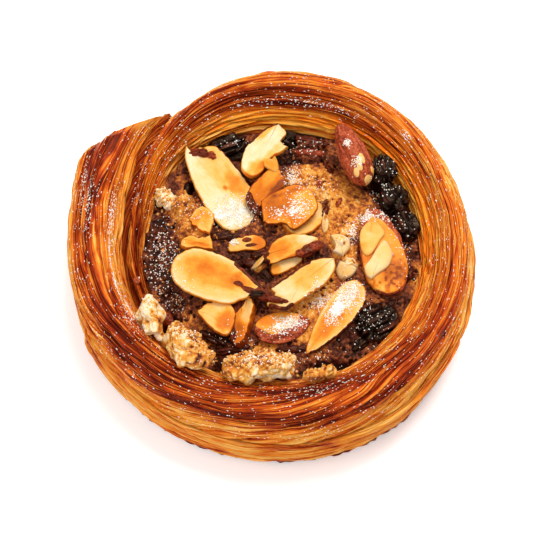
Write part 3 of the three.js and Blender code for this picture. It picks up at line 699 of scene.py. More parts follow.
def evenDisc(cells):  # a square grid bent evenly into a disc: bearing in degrees, and share of the radius
    side = np.linspace(-1, 1, cells)
    a, b = np.meshgrid(side, side)
    wide = np.abs(a) > np.abs(b)
    share = np.where(wide, a, b)
    slant = np.where(wide, b, a) / np.where(share == 0, 1, share)
    bearing = np.where(wide, np.pi / 4 * slant, np.pi / 2 - np.pi / 4 * slant)
    bearing = bearing + np.where(share < 0, np.pi, 0)
    return np.degrees(bearing) % 360, np.abs(share)


def openUnder(tree, x, y, depth):  # the underside of the lowest topping above each point, or far above
    height = np.full(x.shape, 99.0)
    for index in np.ndindex(x.shape):
        start = Vector((x[index] * mm, y[index] * mm, depth * mm))
        hit = tree.ray_cast(start, Vector((0, 0, 1)), 20 * mm)[0]
        if hit is not None:
            height[index] = hit.z / mm
    return height


def crumbRelief(points):
    # sugary crumb: packed grains of two sizes with here and there one missing; height in mm, how much
    # of a pit each point is, the grain's border and a number that is the same all over a grain
    seed, missing = filling["seed"], filling["missing"]
    warp = warped(points, 0.3, 1.0, seed)
    near, border, name = grains(warp, 1.15, seed + 3)
    nearFine, borderFine, nameFine = grains(warp, 0.52, seed + 4)
    pit = smooth(name, 1 - missing, 1.06 - missing) * (1 - smooth(near, 0.35, 0.6))
    height = 0.5 * (0.5 - near) + 0.3 * (name - 0.5) + 0.26 * (0.5 - nearFine) - 0.9 * pit
    return height, pit, np.minimum(border, borderFine), 0.6 * name + 0.4 * nameFine


def makeFilling(toppings):
    cells, base = filling["cells"], filling["underside"]
    bearing, share = evenDisc(cells)
    x, y = polar(share * (wellRadius(bearing) + filling["into"]), np.radians(bearing))
    plan = vectors(x, y)
    out = np.minimum(1, np.hypot(x, y) / (coil["radius"] - coil["wallWidth"]))
    height = filling["edge"] + filling["dome"] * (1 - out ** 2)
    # two low waves
    height = height + 0.35 * np.sin(x / 2.3 + 1.2) * np.cos(y / 2.9) + 0.25 * np.sin((x - y) / 4.1 + 0.5)
    light = filling["light"] + 0 * x
    strayX, strayY = swell(plan, 3, 91), swell(plan, 3, 92)  # so that no area ends on a clean line
    for middleX, middleY, reachX, reachY, tone, lift in filling["areas"]:
        away = ((x + strayX - middleX) / reachX) ** 2 + ((y + strayY - middleY) / reachY) ** 2
        weight = 1 - smooth(np.sqrt(away), 0.55, 1.25)
        light = light + weight * (tone - light)
        height = height + weight * lift
    for middleX, middleY, heading, length, width, lift, tone in filling["lumps"]:
        turned = np.radians(heading)
        u = ((x - middleX) * np.cos(turned) + (y - middleY) * np.sin(turned)) / (length / 2)
        v = ((y - middleY) * np.cos(turned) - (x - middleX) * np.sin(turned)) / (width / 2)
        away = np.sqrt(u * u + v * v) + 0.18 * swell(plan, 1.1, 93)
        height = height + lift * (1 - smooth(away, 0.35, 1.05))
        weight = 1 - smooth(away, 0.75, 1.0)
        light = light + weight * (tone - light)
    crumbHeight, pits, border, name = crumbRelief(plan)
    dry = smooth(light, 0.15, 0.5)  # where it is wet with syrup it is smoother
    crumbly = smooth(swell(plan, 2.6, 103), -0.5, 0.3)  # and where it has caramelised
    relief = filling["crumbHigh"] * crumbHeight * (0.5 + 0.5 * dry) * (0.45 + 0.55 * crumbly)
    relief = relief + filling["roughHigh"] * roughly(plan, 3.2, 101)
    relief = relief + 0.25 * swell(plan, 1.4, 102)
    height = height + relief
    beds = openUnder(toppings, x, y, base + 0.2)  # it starts a little above the underside
    height = np.minimum(height, beds + filling["sink"])
    top = vectors(x, y, height).reshape(-1, 3)
    number = np.arange(cells * cells).reshape(cells, cells)
    rim = np.concatenate([number[0, :-1], number[:-1, -1], number[-1, :0:-1], number[:0:-1, 0]])
    lower = top[rim] * (1, 1, 0) + (0, 0, base)
    below = cells * cells + np.arange(len(rim))
    middle = np.full(len(rim), cells * cells + len(rim))
    quads = gridFaces(cells, cells, loop=False)
    side = np.stack([np.roll(rim, -1), rim, below, np.roll(below, -1)], axis=-1)
    fan = np.stack([middle, np.roll(below, -1), below], axis=-1)
    points = np.concatenate([top, lower, [(0, 0, base)]])

    def spread(values):  # from the top to all points; the middle below is out of sight
        flat = values.reshape(-1)
        return np.concatenate([flat, flat[rim], [0.3]])

    # pits, where a crumb is missing, are painted darker: painted shade in the holes
    tone = light + (0.3 * (name - 0.5) - 0.5 * pits) * (0.3 + 0.7 * crumbly) - 0.1 * (1 - crumbly)
    fields = {"light": spread(tone + 0.16 * roughly(plan, 2.2, 104)), "border": spread(border)}
    piece = makePiece("bakedFilling", points, [quads, side, fan], fields)
    dress(piece, "filling", bakedAlmondCream())
    print("filling:", len(piece.data.polygons), "faces")
    return piece


def bakedAlmondCream(name="bakedAlmondCream", grainSwing=1.2, patchSwing=0.7):
    # almond cream baked open: the eye sees dry gold crumb, and black-brown where syrup has burnt;
    # butter crumble is the same, only more even
    material, tree = newMaterial(name)
    place = addNode(tree, "ShaderNodeTexCoord").outputs["Object"]
    light, border = (addNode(tree, "ShaderNodeAttribute", attribute_name=field).outputs["Fac"]
                     for field in ("light", "border"))
    crumb, patch = (addNode(tree, "ShaderNodeTexNoise", {
        "Vector": place, "Scale": 1 / (size * mm), "Detail": 4, "Roughness": 0.7})
                    for size in (0.7, 2.6))
    # darker along each grain's border: painted shade in the gaps between crumbs
    level = varied(tree, light, (crumb, grainSwing), (patch, patchSwing), (border, 0.2))
    colour = addNode(tree, "ShaderNodeValToRGB", {"Fac": level}, stops={
        0.0: "#1e0a07", 0.16: "#3d1810", 0.32: "#6b3524", 0.46: "#98502a", 0.6: "#c6742c",
        0.76: "#df993f", 0.9: "#ebb86c", 1.0: "#f2d8b0"})
    bumps = addNode(tree, "ShaderNodeBump", {"Height": crumb, "Strength": 0.5, "Distance": 0.3 * mm})
    gloss = addNode(tree, "ShaderNodeMapRange", {
        "Value": level, "From Min": 0.05, "From Max": 0.5, "To Min": 0.35, "To Max": 0.8})
    finishMaterial(tree, addNode(tree, "ShaderNodeBsdfPrincipled", {
        "Base Color": colour, "Roughness": gloss, "Normal": bumps, "IOR": 1.42,
        "Specular IOR Level": 0.25, "Specular Tint": linear("#ffc8a0")}))
    return material


# The toppings: each CAD solid is smoothed, remade as an even fine mesh and given its own relief

def evenCopy(node, name, settings):
    # a copy of a CAD solid with its facets smoothed away, points about one cell apart, and grown by so
    # many mm, because smoothing and folds take that off; also its points and their normals
    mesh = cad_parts[node].data.copy()
    body = bmesh.new()
    body.from_mesh(mesh)
    bmesh.ops.remove_doubles(body, verts=body.verts, dist=0.002 * mm)
    body.to_mesh(mesh)
    body.free()
    mesh.materials.clear()
    piece = bpy.data.objects.new(name, mesh)
    bpy.context.scene.collection.objects.link(piece)
    rounding = piece.modifiers.new("rounding", "SUBSURF")
    rounding.levels = rounding.render_levels = settings["levels"]
    even = piece.modifiers.new("even", "REMESH")
    even.mode, even.voxel_size = "VOXEL", settings["cellMm"] * mm
    settle = piece.modifiers.new("settle", "SMOOTH")
    settle.factor, settle.iterations = 0.5, 3
    bpy.context.view_layer.update()
    finished = piece.evaluated_get(bpy.context.evaluated_depsgraph_get())
    made = bpy.data.meshes.new_from_object(finished)
    piece.modifiers.clear()
    piece.data = made
    made.shade_smooth()
    movePoints(piece, pointsOf(made) + settings["grow"] * normalsOf(made))
    return piece, pointsOf(made), normalsOf(made)


def ownAxes(node):
    # a solid's middle and its long, wide and thin directions: long points right, thin points up
    points = pointsOf(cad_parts[node].data)
    middle = (points.min(axis=0) + points.max(axis=0)) / 2
    values, axes = np.linalg.eigh(np.cov((np.unique(points.round(3), axis=0) - middle).T))
    long, thin = axes[:, 2], axes[:, np.abs(axes[2, :2]).argmax()]
    long = long * (1 if long[0] > 0 else -1)
    thin = thin * (1 if thin[2] > 0 else -1)
    return middle, np.stack([long, np.cross(thin, long), thin])


def inOwnAxes(node, points):
    middle, axes = ownAxes(node)
    return (points - middle) @ axes.T


def patches(u, v, spots, jitter=0):  # soft areas: middle u and v, reach in u and v, amount
    total = np.zeros_like(u)
    for middleU, middleV, reachU, reachV, amount in spots:
        away = np.sqrt(((u - middleU) / reachU) ** 2 + ((v - middleV) / reachV) ** 2) + jitter
        total = total + amount * (1 - smooth(away, 0.5, 1.2))
    return total


def closedCurve(points, step):
    # a smooth closed line through the points, pointed where a point is given twice, in even steps;
    # also how far down the list of points each step lies
    here = np.array(points, float)[:, None]
    before, after, beyond = (np.roll(here, shift, axis=0) for shift in (1, -1, -2))
    t = np.arange(0, 1, 0.1)[:, None]
    bent = t * (2 * before - 5 * here + 4 * after - beyond + t * (3 * (here - after) + beyond - before))
    line = (here + t / 2 * (after - before + bent)).reshape(-1, 2)
    places = (np.arange(len(points))[:, None] + t.T).ravel()
    steps = np.linalg.norm(np.roll(line, -1, axis=0) - line, axis=1)
    lengths = np.concatenate([[0], np.cumsum(steps)])
    even = np.linspace(0, lengths[-1], round(lengths[-1] / step), endpoint=False)
    x, y, place = (np.interp(even, lengths, np.append(values, last)) for values, last in (
        (line[:, 0], line[0, 0]), (line[:, 1], line[0, 1]), (places, len(points))))
    return np.stack([x, y], axis=-1), place


def awayFrom(points, line):  # the distance of each point to the nearest point of a line
    tree = KDTree(len(line))
    for number, (x, y) in enumerate(line):
        tree.insert((x, y, 0), number)
    tree.balance()
    return np.array([tree.find((x, y, 0))[2] for x, y in points])


def plate(line, half, midHeight, rings):
    # a closed plate over an outline: points, faces, each point's distance from the edge and how many
    # points are on top; it is half as thick to both sides of midHeight(u, v), with a crisp upper edge
    centre = line.mean(axis=0)
    shares = np.linspace(0.04, 1, rings)[:, None, None]
    top = centre + shares * (line - centre)
    under = centre + shares[::-3] * (line - centre)
    plan = np.concatenate([top, np.repeat(top[-1:], 3, axis=0), under])
    edge = awayFrom(plan.reshape(-1, 2), line).reshape(plan.shape[:2])
    edge[rings - 1:rings + 4] = 0
    lift = np.ones(len(plan))
    lift[rings:rings + 3] = 0.45, -0.3, -0.85  # the side: heights, and below how far it bulges in mm
    lift[rings + 3:] = -1
    outward = (line - centre) / np.linalg.norm(line - centre, axis=-1, keepdims=True)
    plan[rings:rings + 3] += np.array([0.07, 0.1, 0.05])[:, None, None] * outward
    height = midHeight(plan[..., 0], plan[..., 1]) + half * lift[:, None] * (1 - 0.28 * np.exp(-edge / 0.25))
    points = np.concatenate([plan, height[..., None]], axis=-1)
    rows, columns = points.shape[:2]
    whole = np.concatenate([points.reshape(-1, 3), points[[0, -1]].mean(axis=1)])
    faces = [part[:, ::-1] for part in closedFaces(rows, columns)]
    far = 9  # mm: both middle points count as far from the edge
    return whole, faces, np.concatenate([edge.ravel(), [far, far]]), rings * columns


def bendTerms(u, v):  # what the height of a slightly bent sheet is made of
    return np.stack([np.ones_like(u), u, v, u * u, v * v], axis=-1)


slices = {
    "step": 0.3, "rings": 26, "wave": 0.16, "waveMm": 5, "coverHigh": 0.16, "jag": 0.1, "tornJag": 0.3,
    # for each slice, in its own millimetres, right and back from its middle: its outline, pointed where
    # a point is given twice; between which of these points it is torn, or keeps a strip of skin so many
    # mm wide; how toasted it is all over and how much paler at its rim; areas that are toasted, have
    # skin or are sugared: middle, reach both ways, amount
    "usual": {"thickness": 1.5, "torn": [], "skinEdges": [], "rim": 0,
              "toasted": [], "skin": [], "sugar": []},
    "flake_back": {
        "outline": [
            (-12.4, -1.2), (-12.4, -1.2), (-11.1, -1), (-9.8, -0.8), (-10.5, 0.4), (-9.8, 2.4),
            (-8.6, 4.2), (-6.6, 5), (-3.6, 5.3), (-0.4, 5.6), (3.1, 5.6), (5.9, 5.3), (8.4, 4.3),
            (10.7, 2.8), (11.9, 0.6), (12.1, -1.8), (11.4, -3.8), (9.8, -5.3), (7.3, -5.9), (4, -6),
            (0.6, -5.7), (-3.4, -5), (-7.7, -3.8), (-10.6, -2.7)],
        "torn": [(1, 5)], "skinEdges": [(6.5, 14, 0.25)], "toast": 0.1, "rim": 0.04,
        "toasted": [(-3.5, 2.4, 8, 4, 0.26), (3.7, 3.4, 6, 2.6, 0.28), (1.4, 0.5, 0.7, 0.6, 0.5)],
        "sugar": [(8, -1.6, 4.4, 4.6, 1), (5, -5, 2, 1.6, 0.6)]},
    "flake_curved": {
        "outline": [
            (8.3, 1.5), (8.3, 1.5), (8, -0.1), (6.9, -1.7), (5.4, -1.6), (4, -2.2), (3.6, -3.9),
            (3.6, -3.9), (2.1, -3.8), (0.6, -3.1), (-1.2, -2.6), (-3.5, -3), (-5.7, -3.3), (-7.8, -2.5),
            (-8.2, -0.9), (-7.6, 1), (-5.7, 2.3), (-2.5, 3.4), (1.1, 3.5), (4.8, 3.1), (6.8, 2.4)],
        "torn": [(1, 7)], "skinEdges": [(17.5, 21, 0.45)], "toast": 0.06,
        "toasted": [(-6.2, -2, 4, 2.4, 0.4), (-1, -2.6, 6, 1.4, 0.25), (5, 2.6, 4, 1.2, 0.4)]},
    "flake_oval": {
        "outline": [
            (-11.6, -1.8), (-11.7, 0.4), (-10.7, 2.3), (-8.7, 4), (-6.1, 4.6), (-3, 4.7), (0.3, 4.4),
            (3.4, 3.5), (6.8, 1.9), (9.9, 0.6), (12.3, -0.8), (12.3, -0.8), (10.2, -1.6), (7.7, -1.9),
            (5.6, -3.4), (3.9, -5.1), (1.3, -5.8), (-1.9, -6.1), (-5.2, -6), (-8.1, -5.3), (-10.4, -3.9)],
        "torn": [(12, 14)], "skinEdges": [(6.5, 11, 0.7)], "toast": 0.3, "rim": 0.2,
        "toasted": [(-2.5, 0.2, 9, 3.8, 0.26), (-4, 0.4, 3, 1.6, 0.12), (5, 0.6, 4, 2, 0.2)],
        "skin": [(3.8, -0.3, 1.2, 0.7, 1), (7.1, -0.9, 2.6, 0.9, 1), (9.3, 0, 1.4, 0.8, 1)]},
    "flake_right": {
        "outline": [
            (-11.8, 0.4), (-11.8, 0.4), (-10.4, -0.7), (-8.1, -1.6), (-5.2, -2.4), (-2.1, -3.1),
            (1.3, -3.4), (4.7, -3.1), (7.3, -2.2), (8.9, -0.4), (8.8, 1.9), (6.7, 3.2), (3.9, 3.7),
            (0.6, 3.7), (-2.9, 3.3), (-6.7, 2.4), (-9.8, 1.4)],
        "skinEdges": [(1.5, 7, 0.3)], "toast": 0.46, "rim": 0.2, "toasted": [(-3, 0.8, 6, 2.4, 0.2)],
        "sugar": [(3.6, 1, 5, 2.6, 1), (-1.5, 1, 4, 1.6, 0.8)]},
    "flake_crossing": {
        "outline": [
            (9.4, -0.6), (9.4, -0.6), (7.9, 0.8), (6, 2), (3.7, 2.9), (1.6, 3.2), (-0.7, 3.4),
            (-3.2, 3.7), (-5.6, 4), (-5.6, 4), (-6.1, 2.2), (-7.5, 1.8), (-8.8, 1.6), (-8.1, -0.5),
            (-6.8, -2.4), (-6.8, -2.4), (-4.9, -2.5), (-2.7, -2.8), (-0.9, -2.9), (1.4, -3.3),
            (3.8, -3.6), (6.4, -3.1), (8.2, -2.1)],
        "torn": [(8, 13), (17, 19)], "skinEdges": [(3.5, 9, 0.55), (12.5, 16, 0.55)], "toast": 0.16,
        "toasted": [(2.8, 0.3, 5.2, 3.4, 0.26), (-6.9, 0.9, 1.5, 1.2, 0.4)]},
    "flake_golden": {
        "outline": [
            (-6.4, 1.3), (-6.4, 1.3), (-4.9, 1.9), (-3.9, 2.7), (-2.6, 3.2), (-0.8, 3.4), (1.1, 3.1),
            (3, 2.4), (4.8, 1.4), (6.6, 0), (6.6, 0), (6.4, -1.1), (5.4, -1.7), (3.6, -1.9), (1.9, -1.9),
            (0.3, -1.9), (-1.6, -1.6), (-3.2, -1.4), (-4.8, -1.4), (-5.9, -1), (-5.9, -1), (-6.6, 0.1)],
        "torn": [(19, 22)], "skinEdges": [(20.5, 22, 0.5), (0, 1.5, 0.5)], "toast": 0.36,
        "toasted": [(-3.4, 1.2, 4, 2.4, 0.26), (4.6, 1, 3, 1.6, -0.25), (0, -1.8, 7, 0.8, 0.35)],
        "skin": [(-5.8, 1.4, 1, 0.8, 1)]},
    "flake_small": {
        "outline": [
            (-4.1, -0.2), (-3.4, 0.7), (-1.7, 1.3), (0.3, 1.3), (2.3, 0.8), (3.4, -0.2), (3.2, -1),
            (1.5, -1.6), (0, -1.8), (-1.9, -1.9), (-3.3, -1.8), (-4.1, -1.2)],
        "toast": 0.16, "toasted": [(-3.3, -0.6, 1.8, 1.6, 0.4)]},
    "flake_sliver": {
        "outline": [
            (-4.4, -0.5), (-3.8, 0.9), (-1.9, 1.3), (-0.1, 1.6), (1.4, 1.7), (2.9, 1.3), (4.2, 0.2),
            (4.3, -0.7), (3.5, -1.6), (2.1, -1.9), (0.5, -1.7), (-1.1, -1.5), (-2.7, -1.7), (-4.1, -1.4)],
        "torn": [(0, 3)], "toast": 0.4, "toasted": [(2.7, -0.1, 2.2, 2, 0.3)],
        "skin": [(0.1, 0.7, 1.4, 0.7, 1), (0.9, -0.6, 1.6, 0.5, 0.9)],
        "sugar": [(-2.9, 0.6, 1.4, 0.8, 1)]},
    "flake_middle": {
        "outline": [
            (-5.2, 2.1), (-3.2, 2.7), (-0.6, 2.7), (1.8, 2.4), (3.8, 2), (5, 0.3), (4.5, -1.7),
            (3.8, -3.2), (3.8, -3.2), (0.7, -2.7), (-2.3, -2.3), (-4.7, -2.4), (-6.2, -3.3), (-6.2, -3.3),
            (-7, -2.4), (-7, -0.8), (-6.2, 0.9)],
        "torn": [(4, 8)], "skinEdges": [(11.6, 17, 1.5)], "toast": 0.7,
        "toasted": [(0.7, -2.2, 5, 1.2, 0.3), (2, 0.8, 3, 1.4, -0.15)],
        "skin": [(-6.2, -1.4, 1.4, 1.6, 1)]},
    "flake_sugared": {
        "outline": [
            (-6, 3.7), (-6, 3.7), (-4.2, 4.4), (-1.6, 5), (1, 5.4), (3, 5.2), (4.8, 4.1), (5.9, 2.3),
            (6.2, -0.1), (5.6, -2), (3.9, -3.4), (2.2, -4.3), (0.6, -5), (-0.9, -5.2), (-0.9, -5.2),
            (-1.7, -4), (-2.4, -3), (-3.7, -2.7), (-5, -2.3), (-6, -1.9), (-6.8, -1.3), (-6.8, -1.3),
            (-6.4, 1.1)],
        "torn": [(13, 21)], "skinEdges": [(3, 6, 0.2)], "toast": 0.72, "rim": 0.16,
        "toasted": [(-3.2, 1.8, 4, 3, 0.12), (1.1, 4.2, 5, 1.2, 0.16), (3.5, 0, 3, 4, -0.2)],
        "sugar": [(1.7, -0.4, 3.2, 3.6, 0.6), (-1.6, -0.9, 4.4, 1.2, 0.5)]},
    "flake_under": {
        "outline": [
            (-5.4, 2.1), (-5.4, -0.3), (-4.6, -2.4), (-2.9, -3.2), (-0.4, -3.3), (2.4, -2.4), (4.6, 0),
            (4.6, 2.4), (1.8, 3.8), (-2.1, 3.6)],
        "toast": 0.34, "sugar": [(3, 0, 3, 3, 0.3)]},
    "flake_low": {
        "outline": [
            (-3.5, -1.7), (-3.5, -1.7), (-3, 0.6), (-2, 2.4), (-0.4, 3.6), (1.8, 3.9), (3.7, 3), (5, 0.7),
            (5.5, -1.5), (4.4, -2.7), (2, -2.9), (-0.9, -2.4)],
        # its browner patch at the right is painted shadow of the oval slice and the chunk beside it
        "torn": [(0, 3)], "toast": 0.3, "toasted": [(3.4, 0.6, 3, 3.4, 0.36)]},
    "chip_upper": {
        "outline": [
            (-3.2, -1.4), (-3.2, -1.4), (-2.9, 0.4), (-2.2, 2.4), (-2.2, 2.4), (-0.7, 2.9), (1.7, 2.1),
            (1.7, 2.1), (2.4, 0.2), (2.8, -2.9), (2.8, -2.9), (0.9, -2.7), (-1, -2.4)],
        "torn": [(0, 3), (10, 13)], "toast": 0.52, "rim": 0.2, "toasted": [(-1.6, -1.4, 1.2, 2, 0.2)]},
    "chip_lower": {
        "outline": [
            (-3.6, -0.2), (-3.6, -0.2), (-2.1, 1.1), (-0.2, 0.9), (1.5, 1.3), (2.5, 1.9), (2.5, 1.9),
            (3.4, -0.1), (3.8, -1.7), (3.8, -1.7), (1.9, -1.9), (-0.2, -1.9), (-2.1, -2.6), (-2.1, -2.6),
            (-3.5, -1.8)],
        "torn": [(2, 6)], "toast": 0.54, "rim": 0.2, "toasted": [(0.8, -1.2, 3, 0.8, 0.25)]},
    "almond_chunk": {
        "outline": [
            (6, 0.2), (6, 0.2), (6, -1.4), (6, -1.4), (4.3, -2.9), (2.6, -2.9), (0.8, -2.3), (-1.6, -2.3),
            (-4, -2), (-5.4, -1.2), (-5.8, -0.2), (-5.1, 0.9), (-3, 1.8), (-0.5, 2.8), (1.7, 3.1),
            (3.1, 2.3), (4.5, 1.3)],
        "torn": [(3, 9)], "skinEdges": [(11.5, 17, 1.5)], "toast": 0.62, "thickness": 3.2,
        "toasted": [(-3.5, 0.2, 3.6, 3, 0.2), (3, -1.6, 4, 1.6, -0.34)]},
}


def makeSlices():
    material = toastedAlmond()
    made = []
    for node, look in looksIn(slices):
        middle, axes = ownAxes(node)
        solid = inOwnAxes(node, pointsOf(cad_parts[node].data))
        bend = np.linalg.lstsq(bendTerms(*solid[:, :2].T), solid[:, 2], rcond=None)[0]
        line, place = closedCurve(look["outline"], slices["step"])
        wobble = swell(vectors(np.arange(len(line)) * slices["step"]), (0.9, 1, 1), 110)
        torn = sum((smooth(place, a - 0.2, a + 0.2) * (1 - smooth(place, b - 0.2, b + 0.2))
                    for a, b in look["torn"]), 0 * place)
        outward = line - line.mean(axis=0)
        outward /= np.linalg.norm(outward, axis=1, keepdims=True)
        jag = slices["jag"] + (slices["tornJag"] - slices["jag"]) * torn
        jagged = line + outward * (wobble * jag)[:, None]
        own, faces, edge, topCount = plate(
            jagged, look["thickness"] / 2, lambda u, v: bendTerms(u, v) @ bend, slices["rings"])
        u, v = own[:, :2].T
        jitter = 0.3 * roughly(own, 1.4, 111)
        toast = look["toast"] + patches(u, v, look["toasted"], jitter)
        toast = toast - look["rim"] * np.exp(-(edge / 0.9) ** 2)
        toast = toast + 0.4 * (1 - smooth(edge, 0, 0.22))  # the very edge and the sides are darker: browned there, and painted shade
        skin = patches(u, v, look["skin"], jitter)
        for a, b, width in look["skinEdges"]:
            strip = jagged[(place > a) & (place < b)]
            away = awayFrom(own[:, :2], strip) + 0.5 * width * jitter
            skin = np.maximum(skin, 1 - smooth(away, 0.8 * width, 1.3 * width))
        sugared = patches(u, v, look["sugar"], jitter)
        onTop = np.arange(len(own)) < topCount
        relief = slices["wave"] * swell(own, slices["waveMm"], 112)
        relief = relief + 0.05 * swell(own, (4, 0.9, 4), 113) * onTop
        for cover, base, size, seed in ((skin, 0.7, 0.8, 114), (sugared, 0.8, 0.6, 115)):
            bumps = base + swell(own, size, seed)
            relief = relief + slices["coverHigh"] * np.clip(cover, 0, 1) * bumps * onTop
        own[:, 2] += relief
        name = "slice_" + node.split("_")[-1] + ("_chip" if "chip" in node else "")
        fields = {"toast": toast, "skin": skin, "sugar": sugared, "own": own}
        piece = makePiece(name, own @ axes + middle, faces, fields)
        dress(piece, node, material)
        made.append(piece)
    print("slices:", len(made))
    return made


chips = {
    "step": 0.25, "rings": 8, "sink": 0.25,
    # bits of nut that lie loose: outline in the part's millimetres seen from above, how thick, how toasted
    "bits": [
        ([(-1.4, 19.9), (-1.4, 21.2), (-0.7, 22.3), (0.2, 22.5), (0.9, 23.9), (0.9, 23.9), (1.6, 22),
        (1.6, 19.4), (0, 19.4)], 1.2, 0.5),
        ([(23, 6.3), (23, 6.3), (24.4, 5.8), (25.9, 3.5), (24.7, 1.5), (23.1, -1.3), (21.9, -2.1),
        (20.8, -1.1), (20.4, 1), (20.5, 3.5), (21.6, 5.5)], 1.2, 0.4),
        ([(25.8, 1.5), (27.1, 0), (27.5, -2.3), (26.5, -4.6), (24.4, -6.3), (22.8, -7.8), (22.8, -7.8),
        (21.7, -7), (21.3, -5.1), (22.7, -3.1), (24.2, -0.5)], 1.3, 0.22),
        ([(13.7, 2.7), (13.7, 2.7), (15.8, 3.2), (18, 2.5), (18, 2.5), (18, 0.4), (18, 0.4), (16.4, -1.3),
        (16.4, -1.3), (14.3, -0.6), (14.3, -0.6), (14.8, 0.9)], 1.6, 0.2),
        ([(15.7, -3.1), (15.7, -3.1), (17.9, -3.9), (19.5, -4.9), (19.5, -4.9), (18.1, -6.4),
        (15.8, -6.9), (15.8, -6.9), (14.9, -5.1)], 1.5, 0.2),
        ([(12.2, 9.2), (12.2, 9.2), (13.1, 6.8), (12.9, 4.8), (12.2, 4.2), (12.2, 4.2),
        (11.7, 6.3)], 1, 0.25),
        ([(-4.5, -4.7), (-3.2, -3.2), (-1.1, -2.4), (-1.1, -2.4), (-1.8, -4.2), (-3.2, -5.4)], 1.2, 0.3),
    ],
}


def makeChips(trees):
    parts = []
    for outline, thickness, toast in chips["bits"]:
        line = closedCurve(outline, chips["step"])[0]
        ground = np.array([topUnder(trees, x, y) for x, y in line])
        slope = np.linalg.lstsq(np.column_stack([np.ones(len(line)), line]), ground, rcond=None)[0]

        def leaning(x, y, lift=0):  # the height of a flat sheet that leans as the ground does
            return slope[0] + slope[1] * x + slope[2] * y + lift

        lift = np.percentile(ground - leaning(*line.T), 60) - chips["sink"] + thickness / 2
        points, faces, edge, topCount = plate(
            line, thickness / 2, lambda x, y: leaning(x, y, lift), chips["rings"])
        wave = 0.1 * swell(points, 1.5, 116)
        points[:, 2] += wave * (np.arange(len(points)) < topCount)
        toasted = toast - 0.06 * np.exp(-edge / 0.4) + wave
        parts.append((points, faces, {"toast": toasted, "skin": 0 * edge, "sugar": 0 * edge, "own": points}))
    piece = makePiece("looseChips", *joinedParts(parts))
    dress(piece, None, bpy.data.materials["toastedAlmond"])
    print("chips:", len(parts))


def topUnder(trees, x, y, default=15.0):  # the height of the highest surface at a place, in mm
    best = None
    for tree in trees:
        hit = tree.ray_cast(Vector((x * mm, y * mm, 60 * mm)), Vector((0, 0, -1)))[0]
        if hit is not None:
            best = hit.z / mm if best is None else max(best, hit.z / mm)
    return default if best is None else best


def toastedAlmond(name="toastedAlmond", skinStops=("#2c0c07", "#541a0d", "#863218")):
    # sliced almond, toasted: the eye sees waxy cream flesh going gold, with torn brown skin at edges
    material, tree = newMaterial(name)
    place = addNode(tree, "ShaderNodeTexCoord").outputs["Object"]
    toast, skin, sugared = (addNode(tree, "ShaderNodeAttribute", attribute_name=field).outputs["Fac"]
                            for field in ("toast", "skin", "sugar"))
    own = addNode(tree, "ShaderNodeAttribute", attribute_name="own").outputs["Vector"]
    lengthways = addNode(tree, "ShaderNodeMapping", {"Vector": own, "Scale": (1 / 5, 1 / 0.6, 1)})
    grain = addNode(tree, "ShaderNodeTexNoise", {"Vector": lengthways, "Scale": 1, "Detail": 2})
    patch, fine, dust = (addNode(tree, "ShaderNodeTexNoise", {
        "Vector": place, "Scale": 1 / (size * mm), "Detail": 4}) for size in (3.5, 0.5, 0.32))
    level = varied(tree, toast, (patch, 0.5), (grain, 0.14), (fine, 0.14))
    flesh = addNode(tree, "ShaderNodeValToRGB", {"Fac": level}, stops={
        0.0: "#e9d1a8", 0.16: "#e7c184", 0.34: "#e9b05a", 0.5: "#e79630", 0.7: "#d8731a", 1.0: "#86340c"})
    skinColour = addNode(tree, "ShaderNodeValToRGB", {"Fac": varied(tree, 0.5, (fine, 1), (grain, 0.8))},
                         stops=dict(zip((0.25, 0.5, 0.75), skinStops)))
    onSkin = addNode(tree, "ShaderNodeMapRange", {
        "Value": varied(tree, skin, (fine, 0.5)), "From Min": 0.45, "From Max": 0.55})
    covered = addNode(tree, "ShaderNodeMix", {0: onSkin, 6: flesh, 7: skinColour}, data_type="RGBA")
    onSugar = addNode(tree, "ShaderNodeMapRange", {
        "Value": varied(tree, sugared, (dust, 2.4)), "From Min": 0.86, "From Max": 1.06})
    colour = addNode(tree, "ShaderNodeMix", {0: onSugar, 6: covered.outputs[2], 7: linear("#f6efe6")},
                     data_type="RGBA")
    bumps = addNode(tree, "ShaderNodeBump", {
        "Height": varied(tree, onSkin, (fine, 0.6), (grain, 0.3)), "Strength": 0.4, "Distance": 0.2 * mm})
    gloss = addNode(tree, "ShaderNodeMapRange", {"Value": onSugar, "To Min": 0.42, "To Max": 0.9})
    finishMaterial(tree, addNode(tree, "ShaderNodeBsdfPrincipled", {
        "Base Color": colour.outputs[2], "Roughness": gloss, "Normal": bumps, "IOR": 1.46,
        "Specular IOR Level": 0.25, "Specular Tint": linear("#ffd0a0"),
        "Subsurface Weight": 0.12, "Subsurface Radius": (0.9, 0.5, 0.25), "Subsurface Scale": 1.2 * mm}))
    return material


def shareOut(u, v, outline):  # how far out a point lies from an outline's middle: 1 on the outline
    line = closedCurve(outline, 0.3)[0]
    centre = line.mean(axis=0)
    bearing, reach = np.arctan2(*(line - centre).T[::-1]), np.hypot(*(line - centre).T)
    here = np.interp(np.arctan2(v - centre[1], u - centre[0]), bearing, reach, period=2 * np.pi)
    return np.hypot(u - centre[0], v - centre[1]) / here


